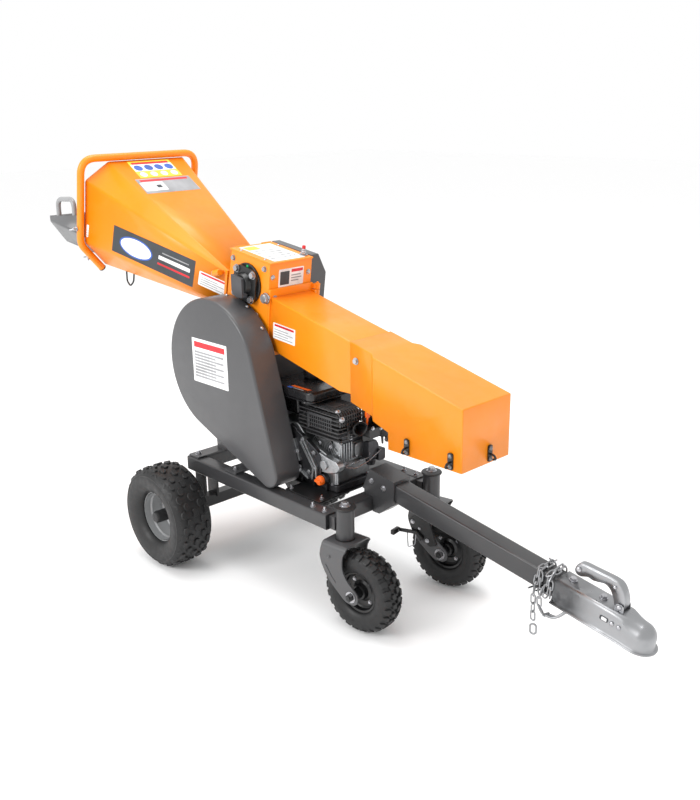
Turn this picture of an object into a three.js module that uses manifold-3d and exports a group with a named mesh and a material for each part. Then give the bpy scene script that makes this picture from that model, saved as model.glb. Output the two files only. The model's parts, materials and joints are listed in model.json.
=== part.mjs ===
// Towable wood chipper with a petrol engine, a gravity-fed hopper and a long discharge chute.
// Millimetres, +Z up. +X points to the tow coupling and +Y to the machine's left-hand side.
// Lengths along the machine are measured from the front edge of the chassis frame, and the
// whole machine is then moved so that the origin is on the ground, midway along its length.

import * as THREE from 'three';
import { ConvexGeometry } from 'three/addons/geometries/ConvexGeometry.js';
import { mergeVertices } from 'three/addons/utils/BufferGeometryUtils.js';
import Module from 'manifold-3d';

const wasm = await Module();
wasm.setup();

// ---------------------------------------------------------------- driving dimensions

const GAP = 0.4; // running gap between pieces that touch
const TRAY_END_X = -1487;
const COUPLING_NOSE_X = 960;
const MID_LENGTH_X = (TRAY_END_X + COUPLING_NOSE_X) / 2;

const FRAME = { length: 718, width: 459, top: 349, tube: 50, wall: 3.5 };
const FRAME_BOTTOM = FRAME.top - FRAME.tube;
const RAIL_OUT = FRAME.width / 2;
const RAIL_IN = RAIL_OUT - FRAME.tube;

const REAR_WHEEL = { x: -684, y: 344, radius: 177.5, width: 142, rim: 87 };
const CASTER = { x: 48.6, y: 194.6, trail: 70, radius: 130, width: 84, rim: 63 };
const CASTER_HEADING = { right: 0.09, left: 0.18 };
const TYRE_SIDES = 24;
const SLEEVE = { radius: 28, bottom: 281, top: 375 };
const FORK_CROWN = 279; // top of the fork's bridge, just under the sleeve

const DRAWBAR = { x: 122, z: 380, half: 29, wall: 4, slope: 0.164, rear: -114, front: 668 };
const COUPLING = { rear: 565, neck: 752, nose: 850.7, half: 36 };

const HEAD_Y = { near: -110, far: 66, mid: -22 }; // side plates of the chopping head
const SIDE_PLATE = 6;
const SHAFT_SIDES = 12;
const ROTOR = { x: -560, z: 700, drum: 126, knives: 139, shaft: 17 };
const ROLLER = { x: -477, z: 975, drum: 74, teeth: 82, shaft: 15, seal: 67 };
const HEAD_SPLIT = 750; // the orange head ends here and the grey stand begins

const GUARD = { top: [-560, 700], topRadius: 228, toe: [-285, 399], toeRadius: 48, sheet: 2.5 };
const GUARD_Y = { face: -222, back: -124.6, plate: -121.6 };
const CRANK = { x: -308, z: 458, shaft: 12.5 };
const PULLEY = { near: -206, far: -166, driven: 196, driver: 36, belt: 8 };

const HOPPER = { mid: -47.5, half: 227.5, floorHalf: 140.5, topNear: -185, topFar: 133, sheet: 3 };
const MOUTH = { x: -1214, bottomCorner: 1056, floor: 962, topCorner: 1277, top: 1337, lean: 0.2 };
const THROAT = { x: -612, near: -102, far: 60, floor: 874, top: 996, lean: 0.2 };

const DUCT = { near: -106, far: 62, sheet: 3, slope: 0.2335, topZ: 937, floorZ: 766, end: 62 };
const DUCT_START_X = -346;
const FACE = { x: -362, z: 1047, lean: 0.1405 }; // front face of the chopping head
const CHUTE_HINGE = { x: -356, y: 79, z: 945 };
const HOOD = { near: -126, far: 82, sheet: 2.5, end: 433, bottom: 573 };

// ---------------------------------------------------------------- finishes

const FINISH = {
  orange: [0xf58a12, 0.32, 0.1],
  charcoal: [0x4b4b4d, 0.42, 0.2],
  frameGrey: [0x3d3d40, 0.45, 0.2],
  black: [0x17181a, 0.5, 0.1],
  blackPlastic: [0x141414, 0.55, 0],
  rubber: [0x1b1b1c, 0.85, 0],
  zinc: [0xb9bcc0, 0.32, 0.9],
  casting: [0x9a9da0, 0.5, 0.8],
  rim: [0x9fa1a4, 0.4, 0.7],
  signal: [0xf36a10, 0.45, 0],
  tool: [0x6b6d70, 0.4, 0.9],
};

// ---------------------------------------------------------------- solid helpers

function bare(geometry) {
  const flat = geometry.index ? geometry.toNonIndexed() : geometry.clone();
  flat.deleteAttribute('normal');
  flat.deleteAttribute('uv');
  return outward(mergeVertices(flat, 1e-3));
}

function signedVolume(geometry) {
  const at = geometry.attributes.position;
  const [a, b, c] = [new THREE.Vector3(), new THREE.Vector3(), new THREE.Vector3()];
  let total = 0;
  for (let i = 0; i < geometry.index.count; i += 3) {
    a.fromBufferAttribute(at, geometry.index.getX(i));
    b.fromBufferAttribute(at, geometry.index.getX(i + 1));
    c.fromBufferAttribute(at, geometry.index.getX(i + 2));
    total += a.dot(b.cross(c)) / 6;
  }
  return total;
}

function outward(geometry) {
  if (signedVolume(geometry) < 0) {
    const index = geometry.index.array;
    for (let i = 0; i < index.length; i += 3) {
      [index[i], index[i + 1]] = [index[i + 1], index[i]];
    }
  }
  return geometry;
}

function toManifold(geometry) {
  const vertProperties = new Float32Array(geometry.attributes.position.array);
  const triVerts = new Uint32Array(geometry.index.array);
  return new wasm.Manifold(new wasm.Mesh({ numProp: 3, vertProperties, triVerts }));
}

function fromManifold(manifold) {
  const result = manifold.getMesh();
  const geometry = new THREE.BufferGeometry();
  geometry.setAttribute('position', new THREE.BufferAttribute(result.vertProperties, 3));
  geometry.setIndex(new THREE.BufferAttribute(result.triVerts, 1));
  return geometry;
}

function join(...solids) {
  return fromManifold(solids.map(toManifold).reduce((whole, next) => whole.add(next)));
}

function cut(base, ...tools) {
  return fromManifold(tools.map(toManifold).reduce((rest, tool) => rest.subtract(tool), toManifold(base)));
}

// ---------------------------------------------------------------- shape helpers

function block(x0, x1, y0, y1, z0, z1) {
  const box = new THREE.BoxGeometry(x1 - x0, y1 - y0, z1 - z0);
  return bare(box.translate((x0 + x1) / 2, (y0 + y1) / 2, (z0 + z1) / 2));
}

function outline(points) {
  return points instanceof THREE.Shape ? points : new THREE.Shape(points.map(([a, b]) => new THREE.Vector2(a, b)));
}

function extruded(points, depth, arcSteps) {
  return new THREE.ExtrudeGeometry(outline(points), { depth, bevelEnabled: false, curveSegments: arcSteps });
}

// A plate whose outline is drawn in x and z, between two values of y.
function plateXZ(points, y0, y1, arcSteps = 8) {
  return bare(extruded(points, y1 - y0, arcSteps).rotateX(Math.PI / 2).translate(0, y1, 0));
}

// A plate whose outline is drawn in x and y, between two heights.
function plateXY(points, z0, z1, arcSteps = 8) {
  return bare(extruded(points, z1 - z0, arcSteps).translate(0, 0, z0));
}

// A plate whose outline is drawn in y and z, between two values of x.
function plateYZ(points, x0, x1, arcSteps = 8) {
  const turn = new THREE.Matrix4().set(0, 0, 1, x0, 1, 0, 0, 0, 0, 1, 0, 0, 0, 0, 0, 1);
  return bare(extruded(points, x1 - x0, arcSteps).applyMatrix4(turn));
}

function aimed(geometry, from, to) {
  const start = new THREE.Vector3(...from);
  const direction = new THREE.Vector3(...to).sub(start).normalize();
  const turn = new THREE.Quaternion().setFromUnitVectors(new THREE.Vector3(0, 1, 0), direction);
  return bare(geometry.applyQuaternion(turn).translate(start.x, start.y, start.z));
}

function rod(from, to, radius, sides = 16, endRadius = radius) {
  const length = new THREE.Vector3(...to).distanceTo(new THREE.Vector3(...from));
  const cylinder = new THREE.CylinderGeometry(endRadius, radius, length, sides).translate(0, length / 2, 0);
  return aimed(cylinder, from, to);
}

// A profile of [radius, distance along the axis] spun about the axis that runs from one point to another.
function turned(profile, from, to, sides = 24) {
  const points = profile.map(([radius, along]) => new THREE.Vector2(radius, along));
  return aimed(new THREE.LatheGeometry(points, sides), from, to);
}

function hull(points) {
  return bare(new ConvexGeometry(points.map((p) => new THREE.Vector3(...p))));
}

// The outline round two circles and their outer tangents, with a number of steps on each arc.
function teardrop([x1, z1], r1, [x2, z2], r2, steps = [18, 8]) {
  const axis = Math.atan2(z2 - z1, x2 - x1);
  const spread = Math.acos((r1 - r2) / Math.hypot(x2 - x1, z2 - z1));
  const arc = (x, z, r, from, to, count) => {
    return [...Array(count + 1).keys()].map((k) => {
      const angle = from + ((to - from) * k) / count;
      return [x + r * Math.cos(angle), z + r * Math.sin(angle)];
    });
  };
  const large = arc(x1, z1, r1, axis + spread, axis - spread + Math.PI * 2, steps[0]);
  return [...large, ...arc(x2, z2, r2, axis - spread, axis + spread, steps[1])];
}

// A round tube along straight runs with rounded corners, whose size may differ from corner to corner.
function bentTube(corners, radius, bend, sides = 8) {
  const path = new THREE.CurvePath();
  const points = corners.map((p) => new THREE.Vector3(...p));
  let start = points[0];
  for (let i = 1; i < points.length - 1; i += 1) {
    const into = points[i].clone().sub(points[i - 1]).normalize();
    const out = points[i + 1].clone().sub(points[i]).normalize();
    const size = Array.isArray(bend) ? bend[i - 1] : bend;
    const before = points[i].clone().addScaledVector(into, -size);
    const after = points[i].clone().addScaledVector(out, size);
    path.add(new THREE.LineCurve3(start, before));
    path.add(new THREE.QuadraticBezierCurve3(before, points[i], after));
    start = after;
  }
  path.add(new THREE.LineCurve3(start, points.at(-1)));
  const stops = [];
  for (const piece of path.curves) {
    const steps = piece.isLineCurve3 ? 1 : 3;
    for (let i = 0; i < steps; i += 1) {
      stops.push(piece.getPoint(i / steps));
    }
  }
  stops.push(points.at(-1));
  return bare(sweptRing(stops, radius, sides));
}

// Rings square to the run at each stop, joined into one closed skin.
function sweptRing(stops, radius, sides) {
  const corners = [];
  const triangles = [];
  let side = new THREE.Vector3();
  stops.forEach((stop, i) => {
    const ahead = stops[Math.min(i + 1, stops.length - 1)];
    const behind = stops[Math.max(i - 1, 0)];
    const run = ahead.clone().sub(behind).normalize();
    if (i === 0) {
      side = Math.abs(run.z) < 0.9 ? new THREE.Vector3(0, 0, 1) : new THREE.Vector3(1, 0, 0);
    }
    side = side.clone().addScaledVector(run, -side.dot(run)).normalize();
    const other = run.clone().cross(side);
    for (let k = 0; k < sides; k += 1) {
      const angle = (2 * Math.PI * k) / sides;
      const rim = stop.clone().addScaledVector(side, radius * Math.cos(angle));
      corners.push(...rim.addScaledVector(other, radius * Math.sin(angle)).toArray());
    }
  });
  for (let i = 0; i < stops.length - 1; i += 1) {
    for (let k = 0; k < sides; k += 1) {
      const a = i * sides + k;
      const b = i * sides + ((k + 1) % sides);
      triangles.push(a, b, a + sides, b, b + sides, a + sides);
    }
  }
  const last = (stops.length - 1) * sides;
  for (let k = 1; k < sides - 1; k += 1) {
    triangles.push(0, k + 1, k, last, last + k, last + k + 1);
  }
  const geometry = new THREE.BufferGeometry();
  geometry.setAttribute('position', new THREE.Float32BufferAttribute(corners, 3));
  geometry.setIndex(triangles);
  return geometry;
}

function mesh(name, geometry, [color, roughness, metalness]) {
  const node = new THREE.Mesh(geometry, new THREE.MeshStandardMaterial({ color, roughness, metalness }));
  node.name = name;
  return node;
}

// ---------------------------------------------------------------- chassis

function squareTube(x0, x1, y0, y1, z0, z1, wall) {
  const tube = block(x0, x1, y0, y1, z0, z1);
  return cut(tube, block(x0 - 1, x1 + 1, y0 + wall, y1 - wall, z0 + wall, z1 - wall));
}

function frameRail(y0) {
  return squareTube(-FRAME.length, 0, y0, y0 + FRAME.tube, FRAME_BOTTOM, FRAME.top, FRAME.wall);
}

function frameCross(x0) {
  const inside = RAIL_IN - GAP;
  const bar = block(x0, x0 + FRAME.tube, -inside, inside, FRAME_BOTTOM, FRAME.top);
  const bore = [x0 + FRAME.wall, x0 + FRAME.tube - FRAME.wall, -inside - 1, inside + 1];
  return cut(bar, block(...bore, FRAME_BOTTOM + FRAME.wall, FRAME.top - FRAME.wall));
}

function engineBasePlate() {
  const points = [[-235, -186], [-74, -186], [-74, 186], [-400, 186], [-400, -117], [-235, -117]];
  const slots = [-340, -150].flatMap((x) => [-60, 100].map((y) => block(x - 22, x + 22, y - 6, y + 6, 340, 360)));
  return cut(plateXY(points, FRAME.top + GAP, FRAME.top + 5.5), ...slots);
}

function rearAxle() {
  const inner = REAR_WHEEL.y - REAR_WHEEL.width / 2;
  const bar = block(-704, -664, -inner + 16, inner - 16, 157.5, 197.5);
  const stub = (side) => rod([-684, side * (inner - 18), 177.5], [-684, side * 392, 177.5], 11, 12);
  const leg = (y) => block(-712, -656, y - 4, y + 4, 190, FRAME_BOTTOM - GAP);
  return join(bar, stub(-1), stub(1), leg(-200), leg(-150), leg(150), leg(200));
}

function casterSleeve(side) {
  const y = side * CASTER.y;
  const barrel = rod([CASTER.x, y, SLEEVE.bottom], [CASTER.x, y, SLEEVE.top], SLEEVE.radius, 16);
  const arm = block(GAP, CASTER.x, y - 21, y + 21, FRAME_BOTTOM + 2, FRAME.top - 5);
  const bore = rod([CASTER.x, y, SLEEVE.bottom - 1], [CASTER.x, y, SLEEVE.top + 1], 17, 12);
  return cut(join(barrel, arm), bore);
}

// A sloping box that grips the rear of the drawbar, on a foot welded to the front cross member.
function towBracket() {
  const wide = DRAWBAR.half + 8;
  const narrow = DRAWBAR.half + 1;
  const [roof, base] = [41.2, -35.9];
  const grip = DRAWBAR.half / Math.cos(DRAWBAR.slope) + GAP;
  const at = (x, lift) => [x, DRAWBAR.z + lift - (x - DRAWBAR.x) * Math.tan(DRAWBAR.slope)];
  const box = [at(-36, base), at(-4, roof), at(99, roof), at(97, base)];
  const socket = [at(2, -grip), at(120, -grip), at(120, grip), at(2, grip)];
  const foot = [[-36, FRAME.top + GAP], at(-36, base + 2), at(97, base + 2), [30, FRAME_BOTTOM]];
  foot.push([GAP, FRAME_BOTTOM], [GAP, FRAME.top + GAP]);
  const body = join(plateXZ(box, -wide, wide), plateXZ(foot, -narrow, narrow));
  return cut(body, plateXZ(socket, -narrow + 1 - GAP, narrow - 1 + GAP));
}

// ---------------------------------------------------------------- tow bar, in its own sloping frame

function drawbarTube() {
  const { rear, front, half, wall } = DRAWBAR;
  return squareTube(rear, front, -half, half, -half, half, wall);
}

function couplingHead() {
  const { rear, neck, nose, half } = COUPLING;
  const top = DRAWBAR.half + 5;
  const low = -half;
  const dome = (r, x, z0) => bare(new THREE.SphereGeometry(r, 14, 8).translate(x, 0, z0));
  const spine = [[rear, low], [rear, top], [neck, top], [neck + 40, 22], [neck + 40, low]];
  const nosePoint = nose - half - 2;
  const skirt = plateXY([[rear, -44], [neck, -44], [neck, 44], [rear, 44]], low, low + 4);
  const skirtNose = rod([nosePoint - 6, 0, low], [nosePoint - 6, 0, low + 4], 44, 16);
  const outer = join(plateXZ(spine, -half, half), dome(38, nosePoint, -8), skirt, skirtNose);
  const channel = block(rear - 1, neck + 6, -half + 4, half - 4, low - 40, DRAWBAR.half + 0.8);
  const socket = join(dome(27, nosePoint - 4, -12), rod([nosePoint - 4, 0, -60], [nosePoint - 4, 0, -12], 27, 14));
  const slot = block(neck - 30, neck - 4, -half - 1, half + 1, -2, 8);
  const trim = block(rear, nose + 20, -60, 60, -70, low);
  const ear = (y) => cut(plateXZ([[732, 30], [758, 30], [755, 51], [735, 51]], y, y + 3), handlePivot(6.6, 40));
  return join(cut(outer, channel, socket, slot, trim), ear(-18), ear(15));
}

function handlePivot(radius, reach) {
  return rod([744, -reach, 43], [744, reach, 43], radius, 12);
}

// Pressed lever over the coupling, with its pivot near the nose.
function couplingHandle() {
  const side = [[600, 66], [606, 90], [622, 97], [718, 94], [740, 80], [753, 54], [752, 41], [747, 36], [736, 36]];
  side.push([724, 48], [706, 68], [690, 72], [668, 66], [640, 75], [620, 66]);
  const lever = plateXZ(side, -13, 13);
  const hollow = plateXZ([[605, 50], [610, 85], [624, 92], [715, 89], [734, 75], [747, 52], [747, 20]], -9, 9);
  return join(cut(lever, hollow), handlePivot(6, 20));
}

// Four turns of chain round the bar, joined by the crossing links, with both ends hanging.
function safetyChain() {
  const far = DRAWBAR.half + 11;
  const near = DRAWBAR.half + 1.5;
  const square = (r) => [[-r, -r], [r, -r], [r, r], [-r, r]];
  const turns = [498, 512, 526, 540].map((x) => {
    return cut(plateYZ(square(far), x, x + 9), plateYZ(square(near), x - 1, x + 10));
  });
  const crossing = block(498, 549, -far, -near, -12, 0);
  const loose = bentTube([[504, -37, -20], [506, -46, -60], [510, -46, -128]], 5, 12, 6);
  const hooked = bentTube([[532, -37, -20], [546, -47, -88], [588, -30, -84], [604, -10, -48]], 5, 18, 6);
  return join(...turns, crossing, loose, hooked);
}

function towBar() {
  const bar = new THREE.Group();
  bar.position.set(DRAWBAR.x, 0, DRAWBAR.z);
  bar.rotation.y = DRAWBAR.slope;
  bar.add(mesh('drawbar', drawbarTube(), FINISH.frameGrey));
  bar.add(mesh('coupling_head', couplingHead(), FINISH.zinc));
  bar.add(mesh('coupling_handle', couplingHandle(), FINISH.zinc));
  bar.add(mesh('safety_chain', safetyChain(), FINISH.zinc));
  return bar;
}

// ---------------------------------------------------------------- wheels

// Rubber ring with a squared tread, spun about its own axle along y and standing on a flat of its tread.
function tyre(standing, width, rim) {
  const h = width / 2;
  const radius = standing / Math.cos(Math.PI / TYRE_SIDES);
  const profile = [[rim + 1, -h * 0.62], [radius * 0.76, -h], [radius * 0.92, -h * 0.95], [radius, -h * 0.6]];
  profile.push([radius, h * 0.6], [radius * 0.92, h * 0.95], [radius * 0.76, h], [rim + 1, h * 0.62]);
  profile.push([rim + 1, -h * 0.62]);
  const ring = turned(profile, [0, 0, 0], [0, 1, 0], TYRE_SIDES);
  return bare(ring.rotateY(Math.PI / TYRE_SIDES));
}

// Pressed dish with a hub; `out` is the side of the deep dish.
function rim(radius, width, hub, hubLength, bore, out) {
  const h = width / 2;
  const plate = out * h * -0.35;
  const profile = [[bore, -hubLength], [hub, -hubLength], [hub, plate - 4], [radius * 0.8, plate - 4]];
  profile.push([radius, -h * 0.6], [radius, h * 0.6], [radius * 0.8, plate + 4], [hub, plate + 4]);
  profile.push([hub, hubLength], [bore, hubLength], [bore, -hubLength]);
  return turned(profile, [0, 0, 0], [0, 1, 0], 16);
}

function rearWheel(name, side) {
  const wheel = new THREE.Group();
  wheel.position.set(REAR_WHEEL.x, side * REAR_WHEEL.y, REAR_WHEEL.radius);
  const { radius, width, rim: seat } = REAR_WHEEL;
  wheel.add(mesh(`rear_rim_${name}`, rim(seat, width, 19, 52, 11.5, side), FINISH.rim));
  wheel.add(mesh(`rear_tyre_${name}`, tyre(radius, width, seat), FINISH.rubber));
  return wheel;
}

// Curved fork with two swan-neck legs, drawn with the wheel ahead of the kingpin.
function casterFork() {
  const { trail, radius } = CASTER;
  const leg = new THREE.Shape();
  leg.moveTo(-40, FORK_CROWN - 7);
  leg.lineTo(-50, 250);
  leg.bezierCurveTo(-54, 210, -28, 160, trail - 22, radius - 12);
  leg.absarc(trail, radius, 24, -2.4, 1.0, false);
  leg.bezierCurveTo(60, 178, 34, 210, 36, 250);
  leg.lineTo(46, FORK_CROWN - 7);
  const plate = (y) => plateXZ(leg, y, y + 6, 5);
  const crown = block(-44, 50, -61, 61, FORK_CROWN - 13, FORK_CROWN);
  const collar = rod([0, 0, FORK_CROWN - 7], [0, 0, SLEEVE.bottom - 0.5], 24, 12);
  const stem = join(collar, rod([0, 0, FORK_CROWN - 7], [0, 0, SLEEVE.top - GAP], 16, 12));
  const axle = rod([trail, -74, radius], [trail, 74, radius], 7.5, 10);
  const nuts = [-1, 1].map((s) => rod([trail, s * 60, radius], [trail, s * 71, radius], 12, 6));
  return join(crown, plate(-60), plate(54), stem, axle, ...nuts);
}

function brakeBracket() {
  const near = [[-6, 258], [-46, 226], [-22, 196], [34, 150], [58, 158], [30, 230]];
  return plateXZ(near, -66, -59);
}

function brakePedal() {
  const arm = plateXZ([[-84, 176], [-80, 188], [-12, 196], [12, 176], [6, 164]], -74, -67);
  const tread = block(-92, -78, -102, -67, 174, 190);
  return join(arm, tread);
}

function caster(name, side) {
  const swivel = new THREE.Group();
  swivel.position.set(CASTER.x, side * CASTER.y, 0);
  swivel.rotation.z = CASTER_HEADING[name];
  const braked = name === 'left';
  const fork = braked ? join(casterFork(), brakeBracket()) : casterFork();
  swivel.add(mesh(`caster_fork_${name}`, fork, FINISH.charcoal));
  if (braked) {
    swivel.add(mesh('brake_pedal', brakePedal(), FINISH.black));
  }
  const wheel = new THREE.Group();
  wheel.position.set(CASTER.trail, 0, CASTER.radius);
  const { radius, width, rim: seat } = CASTER;
  wheel.add(mesh(`caster_rim_${name}`, rim(seat, width, 16, 48, 8.2, side), FINISH.black));
  wheel.add(mesh(`caster_tyre_${name}`, tyre(radius, width, seat), FINISH.rubber));
  swivel.add(wheel);
  return swivel;
}

// ---------------------------------------------------------------- chopping head

const faceX = (z) => FACE.x - (FACE.z - z) * FACE.lean;

const HEAD_OUTLINE = [
  [-556, 1075],
  [FACE.x, FACE.z],
  [faceX(HEAD_SPLIT), HEAD_SPLIT],
  [-716, HEAD_SPLIT],
  [-690, 804],
  [-609, 862],
];

const STAND_OUTLINE = [
  [faceX(HEAD_SPLIT - GAP), HEAD_SPLIT - GAP],
  [faceX(355), FRAME.top + 6],
  [-700, FRAME.top + 6],
  [-716, HEAD_SPLIT - GAP],
];

// The outline moved inwards towards its middle, for the space inside a welded box.
function inset(points, wall) {
  const midX = points.reduce((sum, p) => sum + p[0], 0) / points.length;
  const midZ = points.reduce((sum, p) => sum + p[1], 0) / points.length;
  const pull = (value, mid) => value - Math.sign(value - mid) * wall;
  return points.map(([x, z]) => [pull(x, midX), pull(z, midZ)]);
}

function shaftHoles(radius) {
  const hole = (shaft) => rod([shaft.x, -160, shaft.z], [shaft.x, 100, shaft.z], radius, 12);
  return [hole(ROTOR), hole(ROLLER)];
}

function chopperHousing() {
  const shell = plateXZ(HEAD_OUTLINE, HEAD_Y.near, HEAD_Y.far);
  const [insideNear, insideFar] = [HEAD_Y.near + SIDE_PLATE, HEAD_Y.far - SIDE_PLATE];
  const open = [[-566, 1090], [faceX(1062) - 5, 1062], [faceX(970) - 5, 970], [faceX(740) - 5, 740], [-708, 740]];
  open.push([-684, 799], [-603, 857]);
  const mouth = [[-640, THROAT.floor + 6], [-640, 990], [-570, 990], [-590, THROAT.floor + 6]];
  const outlet = [[-440, 775], [-440, 925], [-340, 925], [-340, 775]];
  return cut(
    shell,
    plateXZ(open, insideNear, insideFar),
    plateXZ(mouth, insideNear, insideFar),
    plateXZ(outlet, insideNear, insideFar),
    ...shaftHoles(20),
  );
}

function topCover() {
  const deck = [[-562, 1076.3], [-356, 1046.8], [-356, 1051.8], [-562, 1081.3]];
  return plateXZ(deck, HEAD_Y.near - 2, HEAD_Y.far);
}

function housingStand() {
  const [near, far] = [HEAD_Y.near, HEAD_Y.far];
  const shell = plateXZ(STAND_OUTLINE, near, far);
  const inner = [[faceX(760) - 5, 760], [faceX(340) - 5, 340], [-694, 340], [-710, 760]];
  const window = [[-560, 380], [-500, 380], [-500, 470], [-560, 470]];
  const foot = (x0, x1) => block(x0, x1, -RAIL_OUT + 8, RAIL_OUT - 8, FRAME.top + GAP, FRAME.top + 6.2);
  const body = cut(shell, plateXZ(inner, near + SIDE_PLATE, far - SIDE_PLATE), plateXZ(window, near - 1, far + 1));
  const walls = cut(body, ...shaftHoles(20));
  return cut(join(walls, foot(-716, -662), foot(-512, -450)), block(-740, -455, near + 6, far - 6, 345, 352));
}

// Four-bolt flange bearing on the head's right side, sometimes over a round seal plate.
function flangeBearing(shaft, sealed) {
  const y = HEAD_Y.near - GAP;
  const corner = 54;
  const square = [[-1, -0.7], [-0.7, -1], [0.7, -1], [1, -0.7], [1, 0.7], [0.7, 1], [-0.7, 1], [-1, 0.7]];
  const flange = square.map(([a, b]) => [shaft.x + a * corner, shaft.z + b * corner]);
  const at = (depth) => [shaft.x, y - depth, shaft.z];
  const boss = rod(at(0), at(30), 36, 16);
  const body = join(plateXZ(flange, y - 12, y), boss, rod(at(0), at(sealed ? 7 : 4), sealed ? ROLLER.seal : 50, 20));
  return cut(body, rod(at(-1), at(31), runningBore(shaft.shaft), SHAFT_SIDES));
}

// The radius of a many-sided bore whose flats just clear a shaft that turns in it.
function runningBore(shaft) {
  return (shaft + GAP) / Math.cos(Math.PI / SHAFT_SIDES);
}

const plungerAt = (d) => [-384 + 0.14 * d, 48, 1056.8 + 0.99 * d];

function plungerCollar() {
  return cut(rod(plungerAt(0), plungerAt(16), 11, 6), rod(plungerAt(-1), plungerAt(17), 6.4, 10));
}

function coverPlunger() {
  return join(rod(plungerAt(1), plungerAt(24), 6, 10), rod(plungerAt(23.8), plungerAt(34), 8, 12));
}

// Large-headed bolt that locks the chute's flange to the head.
function chuteLockBolt() {
  const at = (y) => [-385, y, 938];
  return join(rod(at(HEAD_Y.near - GAP), at(HEAD_Y.near - 4), 13, 12), rod(at(-113), at(-128), 12, 12));
}

// ---------------------------------------------------------------- drives

const CASE_OUTLINE = [
  [-368, 1056],
  [-412, 760],
  [-470, 634],
  [-522, 606],
  [-600, 606],
  [-652, 656],
  [-652, 760],
  [-566, 1083],
];

function driveCase() {
  const wall = 3;
  const [y0, y1] = [HEAD_Y.far + GAP, 140];
  const sides = (points, y) => points.map(([x, z]) => [x, y, z]);
  const shoulder = [[-378, 990], ...CASE_OUTLINE.slice(1, 7), [-590, 1018]];
  const crest = [CASE_OUTLINE[0], CASE_OUTLINE[7]];
  const outer = hull([...sides(CASE_OUTLINE, y0), ...sides(crest, 100), ...sides(shoulder, y1)]);
  const within = inset(CASE_OUTLINE, wall);
  const innerShoulder = inset(shoulder, wall);
  const innerCrest = [within[0], within[7]];
  const inner = hull([...sides(within, y0 - 2), ...sides(innerCrest, 98), ...sides(innerShoulder, y1 - wall)]);
  return cut(outer, inner);
}

function cuttingRotor() {
  const { x, z, drum, knives, shaft } = ROTOR;
  const [y0, y1] = [HEAD_Y.near + SIDE_PLATE + 6, HEAD_Y.far - SIDE_PLATE - 6];
  const blades = [0, 1, 2, 3].map((k) => {
    const blade = block(drum - 14, knives, y0 + 2, y1 - 2, -7, 7).rotateY((k * Math.PI) / 2);
    return bare(blade.translate(x, 0, z));
  });
  const barrel = rod([x, y0, z], [x, y1, z], drum, 20);
  return join(barrel, ...blades, rod([x, -214, z], [x, 124, z], shaft, 12));
}

function feedRoller() {
  const { x, z, drum, teeth, shaft } = ROLLER;
  const [y0, y1] = [HEAD_Y.near + SIDE_PLATE + 6, HEAD_Y.far - SIDE_PLATE - 6];
  const bars = [...Array(8).keys()].map((k) => {
    const bar = block(drum - 10, teeth, y0 + 2, y1 - 2, -4, 4).rotateY((k * Math.PI) / 4);
    return bare(bar.translate(x, 0, z));
  });
  return join(rod([x, y0, z], [x, y1, z], drum, 16), ...bars, rod([x, -138, z], [x, 124, z], shaft, 12));
}

// Pulley spun about y, with its bore on the shaft and, when `web` is set, a thin web to its rim.
function pulley(x, z, radius, bore, web) {
  const width = PULLEY.far - PULLEY.near;
  const [low, high] = web ? [width / 2 - 5, width / 2 + 5] : [0, width];
  const profile = [[bore, 0], [bore + 16, 0], [bore + 16, low], [radius - 18, low], [radius - 18, 0]];
  profile.push([radius, 0], [radius, width], [radius - 18, width], [radius - 18, high], [bore + 16, high]);
  profile.push([bore + 16, width], [bore, width], [bore, 0]);
  const plain = [[bore, 0], [radius, 0], [radius, width], [bore, width], [bore, 0]];
  return turned(web ? profile : plain, [x, PULLEY.near, z], [x, PULLEY.far, z], web ? 24 : 14);
}

// A joined pair of belts round both pulleys.
function driveBelt() {
  const reach = [PULLEY.driven + 3, PULLEY.driver + 1.5];
  const at = [[ROTOR.x, ROTOR.z], [CRANK.x, CRANK.z]];
  const outside = teardrop(at[0], reach[0] + PULLEY.belt, at[1], reach[1] + PULLEY.belt);
  const inside = teardrop(at[0], reach[0], at[1], reach[1]);
  const [y0, y1] = [PULLEY.near + 2, PULLEY.far - 2];
  return cut(plateXZ(outside, y0, y1), plateXZ(inside, y0 - 1, y1 + 1));
}

function enginePulley() {
  const shaft = rod([CRANK.x, -212, CRANK.z], [CRANK.x, -118.9, CRANK.z], CRANK.shaft, 12);
  const flange = rod([CRANK.x, PULLEY.far - 0.2, CRANK.z], [CRANK.x, PULLEY.far + 22, CRANK.z], 30, 12);
  return join(pulley(CRANK.x, CRANK.z, PULLEY.driver, CRANK.shaft - 0.5, false), flange, shaft);
}

function sprocket(x, z, radius, bore) {
  const teeth = rod([x, 104, z], [x, 110, z], radius, 14);
  const hub = rod([x, 99, z], [x, 118, z], bore + 10, 12);
  const hole = rod([x, 98, z], [x, 119, z], bore, 12);
  return cut(join(teeth, hub), hole);
}

function driveChain() {
  const at = [[ROLLER.x, ROLLER.z], [ROTOR.x, ROTOR.z]];
  const [big, small] = [58, 38];
  const outside = teardrop(at[0], big + 10, at[1], small + 10);
  const inside = teardrop(at[0], big + 1.5, at[1], small + 1.5);
  return cut(plateXZ(outside, 102, 112), plateXZ(inside, 101, 113));
}

// ---------------------------------------------------------------- belt guard

function beltGuard() {
  const { top, topRadius, toe, toeRadius, sheet } = GUARD;
  const skin = teardrop(top, topRadius, toe, toeRadius);
  const space = teardrop(top, topRadius - sheet, toe, toeRadius - sheet);
  const shell = plateXZ(skin, GUARD_Y.face, GUARD_Y.back);
  return cut(shell, plateXZ(space, GUARD_Y.face + sheet, GUARD_Y.back + 5), hopperSpace(2));
}

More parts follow.
